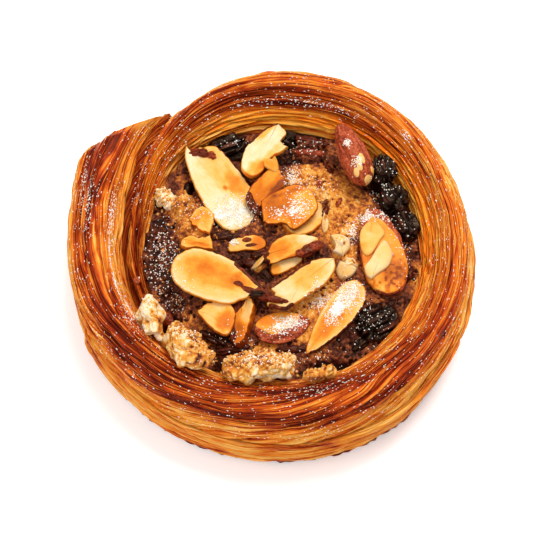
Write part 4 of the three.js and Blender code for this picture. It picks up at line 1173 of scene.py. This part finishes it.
almonds = {
    "cellMm": 0.25, "levels": 2, "grow": 0.15, "wrinkle": 0.85, "wrinkleMm": 1.0,
    # as for the slices; face is the outline of a half's bare face, bare is where the skin has come away
    # from the flesh, and specks are dark spots
    "usual": {"toasted": [], "skin": [], "bare": [], "specks": [], "sugar": []},
    "almond_whole": {
        "toast": 0.3, "skin": [(0, 0, 14, 9, 1.4)], "bare": [(2.6, 0.4, 1.5, 0.7, 1.2),
        (3.9, -0.8, 1.6, 0.7, 1.2), (5.2, -2, 1.2, 0.8, 1.1), (7.4, 0.4, 1, 1.4, 1),
        (5.9, 2.2, 1.1, 0.6, 1)], "sugar": [(-2.3, -1.2, 1.3, 1, 1), (3.2, -0.4, 1.6, 0.8, 0.9),
        (-1, 0.4, 1, 0.5, 0.6)]},
    "almond_half": {
        "face": [
            (-8.6, -1.8), (-8, 0.4), (-6.2, 1.8), (-4.2, 3), (-1.5, 3.8), (1.8, 4.3), (4.7, 4.3),
            (7, 3.5), (8.7, 2), (9.8, 0.2), (10, -1.7), (9.1, -3.4), (8, -4.8), (6, -5.6), (2.9, -5.8),
            (-1, -5.2), (-4.2, -4), (-7, -2.9)],
        "toast": 0.54, "toasted": [(-3, -3.6, 8, 2.4, 0.3), (6, 0.6, 4.6, 3.8, 0.26),
        (9, -1, 2, 4, -0.14)], "specks": [(5.8, -0.8, 6, 5.4, 0.34)], "sugar": [(-9.5, -3.4, 2.6, 3.6, 1),
        (-9, 2.4, 2.6, 2, 0.5), (-5, 4.6, 4, 1, 0.4)]},
    "almond_skinned": {
        "face": [
            (-5.6, 4), (-3.7, 4.6), (-1.8, 4.9), (0.5, 4.9), (2.7, 4.4), (4, 3.2), (4.2, 1.9), (3.3, 0.9),
            (1.8, 0.2), (0.1, -0.3), (-1.6, -0.7), (-3.3, -0.2), (-4.9, 1.2), (-6.2, 2.6)],
        "toast": 0.5, "toasted": [(-3, 3, 3, 1.6, 0.16)], "sugar": [(1.2, 0.6, 3.4, 1.2, 1),
        (-2, 1.4, 2, 0.8, 0.7), (3.4, -1.6, 2, 1, 0.6)]},
}


def makeAlmonds():
    redSkin = toastedAlmond("almondSkin", ("#652112", "#a34226", "#c2663e"))
    made = []
    for node, look in looksIn(almonds):
        piece, points, normals = evenCopy(node, node.replace("almond_", "nut_"), almonds)
        own = inOwnAxes(node, points)
        u, v, w = own.T
        jitter = 0.25 * roughly(points, 1.6, 121)
        bare = patches(u, v, look["bare"], jitter)
        skin = patches(u, v, look["skin"], jitter) * (1 - np.clip(1.4 * bare, 0, 1))
        if "face" in look:  # cut in half: skin all round the bare face
            outside = smooth(shareOut(u, v, look["face"]) + 0.1 * jitter, 0.97, 1.04)
            skin = np.maximum(skin, np.maximum(outside, 1 - smooth(w, -1.2, -0.4)))
        sugared = patches(u, v, look["sugar"], jitter)
        specks = patches(u, v, look["specks"], jitter) * smooth(swell(points, 0.65, 125), 0, 0.4)
        lengthways = vectors(u, 3 * np.arctan2(w, v))
        wrinkles = -np.abs(swell(lengthways, (7, almonds["wrinkleMm"], 1), 122))
        relief = almonds["wrinkle"] * wrinkles * np.clip(skin, 0, 1) + 0.12 * swell(points, 2, 123)
        relief = relief + 0.18 * np.clip(sugared, 0, 1) * (1 + swell(points, 0.6, 124))
        movePoints(piece, points + normals * relief[:, None])
        toast = look["toast"] + patches(u, v, look["toasted"], jitter) + specks
        storeFields(piece, {"toast": toast, "skin": skin, "sugar": sugared, "own": own})
        dress(piece, node, redSkin)
        made.append(piece)
    print("almonds:", len(made))
    return made


raisins = {
    "cellMm": 0.22, "levels": 1, "grow": 0.55,
    # mm: how deep, long and wide the folds and the fine folds on them are
    "fold": 1.2, "foldRun": 5.5, "foldWidth": 1.25, "fineFold": 0.35, "fineRun": 2.2, "fineWidth": 0.7,
}


def makeRaisins():
    material = raisinSkin()
    nodes = [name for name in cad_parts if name.startswith("raisin_")]
    made = []
    for number, node in enumerate(sorted(nodes)):
        piece, points, normals = evenCopy(node, node.replace("raisin_", "fruit_"), raisins)
        own = inOwnAxes(node, points)
        warp = warped(own, 0.5, 3.4, 131 + number)
        folds, fine = (np.abs(swell(warp, (raisins[kind + "Run"],) + 2 * (raisins[kind + "Width"],), seed))
                       for kind, seed in (("fold", 151 + number), ("fine", 161 + number)))
        relief = raisins["fold"] * (smooth(folds, 0, 0.45) - 0.8) + 0.4 * swell(own, 3, 171 + number)
        relief = relief + raisins["fineFold"] * (smooth(fine, 0, 0.5) - 1)
        movePoints(piece, points + normals * relief[:, None])
        # how deep each point lies in the folds, also for the painted shade in them
        storeFields(piece, {"fold": folds})
        dress(piece, node, material)
        made.append(piece)
    print("raisins:", len(made))
    return made


def raisinSkin():
    # dried grape skin, wrinkled and syrupy: the eye sees near-black brown with small sharp glints
    material, tree = newMaterial("raisinSkin")
    place = addNode(tree, "ShaderNodeTexCoord").outputs["Object"]
    fold = addNode(tree, "ShaderNodeAttribute", attribute_name="fold").outputs["Fac"]
    patch, fine = (addNode(tree, "ShaderNodeTexNoise", {
        "Vector": place, "Scale": 1 / (size * mm), "Detail": 4}) for size in (2.2, 0.4))
    # the colour follows the folds: darker down in them, painted shade, and lighter on their ridges, painted
    # light
    level = varied(tree, fold, (patch, 0.9), (fine, 0.3))
    colour = addNode(tree, "ShaderNodeValToRGB", {"Fac": level}, stops={
        0.0: "#080303", 0.35: "#160907", 0.6: "#2c130c", 0.85: "#54261a"})
    bumps = addNode(tree, "ShaderNodeBump", {"Height": fine, "Strength": 0.5, "Distance": 0.25 * mm})
    finishMaterial(tree, addNode(tree, "ShaderNodeBsdfPrincipled", {
        "Base Color": colour, "Roughness": 0.3, "Normal": bumps, "IOR": 1.45,
        "Specular IOR Level": 0.35, "Specular Tint": linear("#ffd2ac")}))
    return material


crumbles = {
    # mm: how high and far across the lumps, crumbs and grains on them are, and the broken corners
    "cellMm": 0.2, "levels": 1, "grow": 0.4,
    "relief": [(1.0, 2.6), (0.5, 1.3), (0.2, 0.55)], "corners": 0.5, "cornerMm": 2.6,
    "sides": 0.05,  # how much lighter the sides are than the baked top
    # how light each lump is, and lighter or browner areas in its own millimetres
    "usual": {"areas": []},
    "crumble_left": {
        "light": 0.96, "areas": [(3.4, 1.6, 2.4, 1.6, -0.3), (-4, 0, 2, 2, -0.1)]},
    "crumble_front_left": {
        "light": 0.76, "areas": [(4, -1, 2.4, 2.4, -0.2), (-3, 1, 3, 2, 0.14), (0, 2.6, 6, 1, -0.14)]},
    "crumble_front": {
        "light": 0.74, "areas": [(-5.5, 0.5, 2.4, 2.4, -0.1), (3, -2, 6, 1.4, 0.24),
        (0, 2.4, 8, 1.4, -0.16)]},
    "crumble_rim": {
        "light": 0.66},
    "crumble_back_left": {
        "light": 0.94},
}


def makeCrumbles(cream):
    made = []
    for node, look in looksIn(crumbles):
        piece, points, normals = evenCopy(node, node.replace("crumble_", "lump_"), crumbles)
        u, v, w = inOwnAxes(node, points).T
        near, border, name = grains(points, crumbles["cornerMm"], 171)
        relief = crumbles["corners"] * (0.5 - near + 0.6 * (name - 0.5))
        for seed, (high, across) in enumerate(crumbles["relief"], 180):
            relief = relief + high * swell(points, across, seed)
        pit = smooth(swell(points, 0.9, 177), 0.34, 0.6)
        light = look["light"] + patches(u, v, look["areas"], 0.25 * roughly(points, 1.6, 174))
        light = light + crumbles["sides"] * (1 - smooth(normals[:, 2], 0.25, 0.75))
        light = light + 0.3 * roughly(points, 2, 175)
        burnt = smooth(swell(points, 1.1, 178), 0.1, 0.4) * (1 - smooth(w - w.min(), 0.8, 2.2))
        movePoints(piece, points + normals * (relief - 0.4 * pit)[:, None])
        # pits are painted darker, as painted shade in the holes
        storeFields(piece, {"light": light - 0.3 * pit - 0.5 * burnt, "border": smooth(border, 0, 0.3)})
        dress(piece, node, cream)
        made.append(piece)
    print("crumble lumps:", len(made))
    return made


# Loose bits: sugar, crumbs and scraps of skin, each kind one piece, every bit resting where it fell

def bits(shape, faces, middles, sizes, headings, tilt, random):
    # copies of one shape, each a little different: points and faces of one mesh; sizes has three numbers
    # for each bit, and headings and tilt are in radians
    count = len(middles)
    body = shape * (1 + 0.22 * random.uniform(-1, 1, (count,) + shape.shape)) * sizes[:, None]
    leanX, leanY = random.uniform(-tilt, tilt, (2, count))
    zero, one = np.zeros(count), np.ones(count)
    (cosX, sinX), (cosY, sinY), (cos, sin) = ((np.cos(a), np.sin(a)) for a in (leanX, leanY, headings))
    for rows in (((one, zero, zero), (zero, cosX, -sinX), (zero, sinX, cosX)),
                 ((cosY, zero, sinY), (zero, one, zero), (-sinY, zero, cosY)),
                 ((cos, -sin, zero), (sin, cos, zero), (zero, zero, one))):
        turned = np.stack([np.stack(row, axis=-1) for row in rows], axis=1)
        body = np.einsum("nij,nkj->nki", turned, body)
    body = body + middles[:, None]
    numbers = (np.arange(count) * len(shape))[:, None, None]
    return body.reshape(-1, 3), (faces + numbers).reshape(-1, faces.shape[1])


def dropped(trees, x, y, sink):  # places on the surface, a little sunk in
    return np.array([(a, b, topUnder(trees, a, b) - depth) for a, b, depth in zip(x, y, sink)])


sugar = {
    "seed": 7, "grain": (0.07, 0.17), "dash": (0.08, 0.32), "dashWidth": (0.04, 0.08),  # mm, half sizes
    # the dashes along the crust are sugar, and painted highlights along the layer edges too
    "onCrust": (300, 80, 220, 60, 1900),  # evenly all over it, in the same numbers as below
    "clearOfEnds": (4, 30), "degrees": (8, 150), "clearOfCut": 1.5,  # turns, part of the section, mm
    # places with more on the crust: turn, degrees round the section, reach of both, how many
    "crustSpots": [
        (158, 66, 8, 6, 60), (168, 85, 12, 8, 110), (168, 119, 12, 12, 150), (401, 88, 2, 4, 40),
        (440, 118, 30, 8, 160), (285, 110, 24, 16, 90), (300, 90, 50, 14, 60), (212, 112, 10, 14, 60),
        (190, 117, 16, 3, 170), (208, 126, 10, 3, 150),
    ],
    # sugared places of the toppings and the filling: middle x, y, reach in x and y, how many
    "spots": [
        (-8.6, 9.4, 4.8, 2.8, 620), (-9.5, 12.5, 4.4, 2.6, 110), (6.5, 9.6, 3.2, 3.8, 230),
        (2.6, 8, 4, 1.4, 110), (18, -11.6, 3, 3.8, 440), (14, -16.8, 2.4, 2.6, 150),
        (4.3, -18.2, 3.8, 1.4, 260), (1.4, -20.4, 3.4, 1, 100), (18.7, 5.2, 1.2, 2.6, 130),
        (21.7, 8.4, 2, 1.4, 110), (26, 8, 3, 1.4, 90), (-8.4, 1.5, 1.2, 0.7, 60),
        (17.6, 23.4, 0.9, 1, 50), (19.6, 19, 1.2, 1.6, 60), (11, -12.4, 2.8, 2.2, 240),
        (5, 19.4, 2.2, 3, 220), (9, 17, 5, 4, 90), (-25, -1, 4, 9, 270), (-18, 10, 4, 5, 60),
        (-22, -12, 5, 5, 110), (-2, -30, 7, 2, 110), (-18, -25, 5, 3, 80), (-27, -17, 2, 4, 60),
        (26, 16, 3.4, 6, 70), (30, 2, 3, 8, 70), (22, -18, 5, 6, 80), (-8, 28, 5, 3, 30),
        (8, 27, 7, 3, 60), (8, -26, 8, 2.4, 50), (-8, -22, 8, 3, 50),
    ],
}


def makeSugar(trees):
    random = np.random.default_rng(sugar["seed"])
    corners = np.array(list(itertools.product((-1, 1), repeat=3)), float)
    cube = np.array([(0, 1, 3, 2), (4, 6, 7, 5), (0, 4, 5, 1), (2, 3, 7, 6), (0, 2, 6, 4), (1, 5, 7, 3)])
    spots = [sugar["onCrust"]] + sugar["crustSpots"]

    def strewn(spot, k):  # the first is even, the others are thicker in the middle
        even = spot is sugar["onCrust"]
        draws = random.uniform(-1, 1, spot[4]) if even else random.normal(0, 0.5, spot[4])
        return spot[k] + spot[2 + k] * draws

    turns, degrees = (np.concatenate([strewn(spot, k) for spot in spots]) for k in (0, 1))
    clearOuter, clearInner = sugar["clearOfEnds"]
    turns = np.clip(turns, looseEndTurn + clearOuter, innerEndTurn - clearInner)
    onWall = wallPoint(turns, np.radians(np.clip(degrees, *sugar["degrees"])))
    away = np.where(turns < 200, fromCut(onWall)[0], 99)  # the cut face stays clean
    kept = away > sugar["clearOfCut"]
    onWall, turns = onWall[kept], turns[kept]
    loose = np.concatenate([np.array(spot[:2]) + np.array(spot[2:4]) * random.normal(0, 0.5, (spot[4], 2))
                            for spot in sugar["spots"]])
    # dashes along the layers: sugar, and painted highlights
    dashes, cubes = len(onWall), len(loose)
    long = random.uniform(*sugar["dash"], dashes) * random.uniform(0.3, 1, dashes)
    thin = random.uniform(*sugar["dashWidth"], (2, dashes))
    even = random.uniform(*sugar["grain"], (3, cubes)) * random.uniform(0.6, 1, cubes)
    sizes = np.concatenate([np.stack([long, thin[0], thin[1]], axis=-1), even.T])
    headings = np.concatenate([np.radians(turns) + np.pi / 2, random.uniform(0, np.pi, cubes)])
    x, y = np.concatenate([onWall[:, :2], loose]).T
    middles = dropped(trees, x, y, -0.3 * sizes[:, 2])
    points, faces = bits(corners, cube, middles, sizes, headings, 0.5, random)
    piece = makePiece("sugarGrains", points, [faces])
    dress(piece, None, sugarCrystal())
    print("sugar grains:", len(middles))


def sugarCrystal():
    # coarse white sugar: the eye sees small bright, slightly glassy grains
    material, tree = newMaterial("sugarCrystal")
    place = addNode(tree, "ShaderNodeTexCoord").outputs["Object"]
    patch = addNode(tree, "ShaderNodeTexNoise", {"Vector": place, "Scale": 1 / (1.5 * mm), "Detail": 2})
    colour = addNode(tree, "ShaderNodeValToRGB", {"Fac": patch}, stops={
        0.3: "#f8dfc0", 0.5: "#fff1dc", 0.7: "#ffffff"})
    finishMaterial(tree, addNode(tree, "ShaderNodeBsdfPrincipled", {
        "Base Color": colour, "Roughness": 0.35, "IOR": 1.54, "Subsurface Weight": 0.2,
        "Subsurface Radius": (1, 0.9, 0.8), "Subsurface Scale": 0.4 * mm}))
    return material


def ball(detail):  # a round body of triangles: points of length one, and faces
    body = bmesh.new()
    bmesh.ops.create_icosphere(body, subdivisions=detail, radius=1)
    points = np.array([vertex.co for vertex in body.verts])
    faces = np.array([[vertex.index for vertex in face.verts] for face in body.faces])
    body.free()
    return points, faces


crumbs = {
    "seed": 11, "sizes": (0.18, 0.55),  # mm, half sizes
    # middle x, y, reach in x and y, how many, how light
    "spots": [
        (-25, 13.6, 3, 3, 26, 0.95), (-24.5, -1, 4, 9, 90, 0.42), (-19, 9, 3.5, 5, 40, 0.75),
        (10, 17, 6, 5, 46, 0.85), (16, 8, 5, 6, 40, 0.8), (9, -10, 6, 4, 46, 0.9),
        (-22, -12, 5, 4, 40, 0.5), (0, -29, 9, 2, 40, 0.8), (-17, -24, 5, 3, 30, 0.8),
        (-24, -22, 4, 4, 26, 0.85), (12, -25, 8, 3, 40, 0.45), (24, -14, 5, 6, 40, 0.4),
        (30, 3, 3, 8, 36, 0.6), (24, 19, 4, 6, 26, 0.5), (4, 27, 10, 3, 46, 0.45),
        (-6, -3, 8, 3, 40, 0.35), (-10, -22, 7, 3, 36, 0.4), (-13, 4, 6, 4, 30, 0.6),
    ],
    # crumbled off a lump: how many lie round it, and how light
    "round": {"crumble_left": (90, 0.95), "crumble_front_left": (190, 0.84), "crumble_front": (240, 0.88),
              "crumble_rim": (70, 0.8), "crumble_back_left": (50, 1.0)},
}


def makeCrumbs(trees, toppings, cream):
    random = np.random.default_rng(crumbs["seed"])
    shape, faces = ball(1)

    def shades(light, count):  # a few are a little lighter, more are darker
        return light + random.uniform(-0.25, 0.15, count)

    scattered = []
    for x, y, reachX, reachY, count, light in crumbs["spots"]:
        scattered.append(np.stack([x + reachX * random.normal(0, 0.55, count),
                                   y + reachY * random.normal(0, 0.55, count), shades(light, count)]))
    for node, (count, light) in crumbs["round"].items():
        half = np.abs(inOwnAxes(node, pointsOf(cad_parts[node].data))).max(axis=0)
        bearing, share = random.uniform(0, 2 * np.pi, count), random.uniform(0.3, 1.25, count)
        flat = vectors(half[0] * np.cos(bearing) * share, half[1] * np.sin(bearing) * share)
        middle, axes = ownAxes(node)
        scattered.append(np.stack([*(flat @ axes + middle).T[:2], shades(light, count)]))
    x, y, light = np.concatenate(scattered, axis=1)
    inside = np.hypot(x, y) < wellRadius(np.degrees(np.arctan2(y, x)) % 360) + 1
    clear = np.array([topUnder([toppings], a, b, -1) < 0 for a, b in zip(x, y)])  # not on a topping
    x, y, light = x[inside & clear], y[inside & clear], light[inside & clear]
    sizes = random.uniform(*crumbs["sizes"], (len(x), 1)) * random.uniform(0.6, 1.1, (len(x), 3))
    middles = dropped(trees, x, y, -0.2 * sizes[:, 2])
    points, allFaces = bits(shape, faces, middles, sizes, random.uniform(0, np.pi, len(x)), 0.6, random)
    each = np.repeat(light, len(shape))
    piece = makePiece("looseCrumbs", points, [allFaces], {"light": each, "border": 0.3 + 0 * each})
    dress(piece, None, cream)
    print("loose crumbs:", len(middles))


scraps = {
    # torn almond skin and burnt fruit: x, y, heading, half length, width and height, and from 0, black,
    # to 1, red
    "bits": [
        (-17.6, 24.6, 10, 1.5, 0.9, 0.7, 0.7), (-15.8, 24.4, -10, 1.6, 1, 0.8, 0.6),
        (-14, 23.8, -30, 1.3, 0.9, 0.7, 0.8), (8.2, -1.7, 30, 2, 1.3, 1, 0.6),
        (10, -0.6, 20, 1.7, 1.1, 1, 0.8), (6.6, -2.5, 10, 1.1, 0.9, 0.8, 0.7),
        (-3, -12.8, -8, 2, 0.9, 1, 0), (-1.4, -13.6, -30, 1.2, 0.8, 0.8, 0.3),
        (12.5, 9.6, 70, 2.6, 0.7, 0.8, 0.55), (11.4, 17.3, 0, 0.9, 0.8, 0.5, 0.9),
        (-27.2, -11.4, -55, 2.8, 1.1, 1, 0.9), (-22.6, -16.6, -55, 3.2, 1.2, 1.1, 0.8),
        (-21.4, -19, -70, 2.2, 1.3, 1, 0.3), (9, 25.8, -4, 4, 0.9, 1, 0.8),
        (9.6, 29, -14, 4.2, 1.1, 1.1, 0.5), (-30.6, -6.4, 60, 0.9, 0.8, 0.6, 0.9),
        (-4.4, -3.4, -10, 3, 1, 1, 0.4), (-1.6, -6, -50, 2.4, 0.9, 1, 0.25),
        (-2.2, -0.6, 20, 2.2, 0.9, 0.8, 0.5), (0.4, -14.2, -12, 3.2, 0.8, 0.9, 0.6),
        (-8.2, -24, 8, 4, 1.1, 1, 0.4), (-13, -21.4, -28, 3.4, 1.1, 1, 0.3),
        (5, -24, 4, 3.6, 0.9, 0.9, 0.4), (-11, 3.4, 0, 3.2, 1.1, 1, 0.3), (-19.6, 17.4, 70, 1.8, 1, 1, 0),
        (13.6, 21.6, -60, 2.2, 0.8, 0.8, 0.5), (20.4, -22, 40, 2.6, 1.1, 1, 0),
        (31.6, -4.6, 80, 2.4, 0.9, 0.8, 0.4), (27.2, -12.6, 50, 2.2, 0.9, 0.8, 0.3),
        (15.8, 12.6, 60, 1.2, 0.6, 0.5, 0.8),
    ],
}


def makeScraps(trees):
    shape, faces = ball(4)
    x, y, heading, long, wide, high, red = np.array(scraps["bits"]).T
    sizes = np.stack([long, wide, high], axis=-1)
    middles = dropped(trees, x, y, -0.15 * high)
    parts = []
    for number, turned in enumerate(np.radians(heading)):
        body = shape * sizes[number]
        folds = np.abs(swell(body + 9 * number, (3.0, 0.8, 0.8), 191)) + 0.5 * np.abs(swell(body, 0.7, 192))
        body = body * (1.15 - 0.42 * (1 - smooth(folds, 0, 0.7)))[:, None]
        cos, sin = np.cos(turned), np.sin(turned)
        spin = np.array([(cos, sin, 0), (-sin, cos, 0), (0, 0, 1)])
        parts.append((body @ spin + middles[number], [faces], {"red": red[number] + 0.2 * (folds - 0.4)}))
    piece = makePiece("skinScraps", *joinedParts(parts))
    dress(piece, None, tornSkin())
    print("scraps:", len(x))


def tornSkin():
    # torn almond skin and burnt syrup: the eye sees small dark red-brown folds that shine a little
    material, tree = newMaterial("tornSkin")
    place = addNode(tree, "ShaderNodeTexCoord").outputs["Object"]
    red = addNode(tree, "ShaderNodeAttribute", attribute_name="red").outputs["Fac"]
    fine = addNode(tree, "ShaderNodeTexNoise", {"Vector": place, "Scale": 1 / (0.5 * mm), "Detail": 4})
    colour = addNode(tree, "ShaderNodeValToRGB", {"Fac": varied(tree, red, (fine, 0.9))}, stops={
        0.0: "#0e0403", 0.3: "#2c0c07", 0.6: "#571a0c", 0.85: "#8a3118", 1.0: "#a8502c"})
    bumps = addNode(tree, "ShaderNodeBump", {"Height": fine, "Strength": 0.5, "Distance": 0.2 * mm})
    finishMaterial(tree, addNode(tree, "ShaderNodeBsdfPrincipled", {
        "Base Color": colour, "Roughness": 0.38, "Normal": bumps, "IOR": 1.45,
        "Specular IOR Level": 0.35, "Specular Tint": linear("#ffc8a0")}))
    return material


# The stage: a pale floor, soft light and the camera

def makeStage():
    half = 1.5 / mm  # a floor of three metres
    corners = [(x * half, y * half, 0) for x, y in ((-1, -1), (1, -1), (1, 1), (-1, 1))]
    floor = makePiece("paleFloor", corners, [np.array([[0, 1, 2, 3]])])
    floor.location.z = -0.02 * mm
    material, tree = newMaterial("glowingWhiteBoard")  # matt white paint: a plain pale ground that glows a little
    finishMaterial(tree, addNode(tree, "ShaderNodeBsdfPrincipled", {
        "Base Color": linear("#ffffff"), "Roughness": 0.9,
        "Emission Color": linear("#ffffff"), "Emission Strength": 0.2}))  # it glows a little of itself: painted light that lifts the shadows on it and lights the pastry from below
    floor.data.materials.append(material)


lighting = {
    "room": "#ffffff", "roomStrength": 0.55,
    # where each soft lamp hangs and how wide it is, in metres, and its watts; all point at the pastry
    "lamps": {"windowLight": ((0.14, 0.24, 0.6), 0.3, 3.5), "fillLight": ((-0.35, -0.3, 0.6), 0.6, 2.2)},
    "aim": (0, 0, 0.01),
}


def makeLight():
    world = bpy.data.worlds.new("softRoom")
    bpy.context.scene.world = world
    world.use_nodes = True
    background = world.node_tree.nodes["Background"]
    background.inputs["Color"].default_value = linear(lighting["room"])
    background.inputs["Strength"].default_value = lighting["roomStrength"]
    for name, (place, size, watts) in lighting["lamps"].items():
        lamp = bpy.data.lights.new(name, "AREA")
        lamp.size, lamp.energy = size, watts
        holder = bpy.data.objects.new(name, lamp)
        holder.location = place
        away = Vector(lighting["aim"]) - Vector(place)
        holder.rotation_euler = away.to_track_quat("-Z", "Y").to_euler()
        bpy.context.scene.collection.objects.link(holder)


view = {
    "elevation": 65, "distance": 387.8 * mm, "lens": 110, "sensor": 36,
    "originPixel": (271, 281), "imageSize": 533,  # where the origin lies in the picture
}


def makeCamera():
    camera = bpy.data.cameras.new("camera")
    camera.lens, camera.sensor_width = view["lens"], view["sensor"]
    half = view["imageSize"] / 2
    camera.shift_x = (half - view["originPixel"][0]) / view["imageSize"]
    camera.shift_y = (view["originPixel"][1] - half) / view["imageSize"]
    camera.clip_start = 0.01
    holder = bpy.data.objects.new("camera", camera)
    tilt = math.radians(view["elevation"])
    holder.location = (0, -view["distance"] * math.cos(tilt), view["distance"] * math.sin(tilt))
    holder.rotation_euler = (math.pi / 2 - tilt, 0, 0)
    bpy.context.scene.collection.objects.link(holder)
    bpy.context.scene.camera = holder
    bpy.context.scene.view_settings.view_transform = "Standard"


makeStage()
makeLight()
makeCamera()
pastry = makePastry()
toppings = makeSlices() + makeAlmonds() + makeRaisins()
cream = makeFilling(joinedTree(toppings))
lumps = makeCrumbles(bakedAlmondCream("butterCrumble", 0.8, 0.9))
ground = [joinedTree([pastry, cream] + toppings + lumps)]
makeChips(ground)
makeScraps(ground)
makeCrumbs(ground, joinedTree(toppings), cream.data.materials[0])
ground.append(joinedTree([bpy.data.objects[name] for name in ("looseChips", "skinScraps", "looseCrumbs")]))
makeSugar(ground)

bpy.context.view_layer.update()
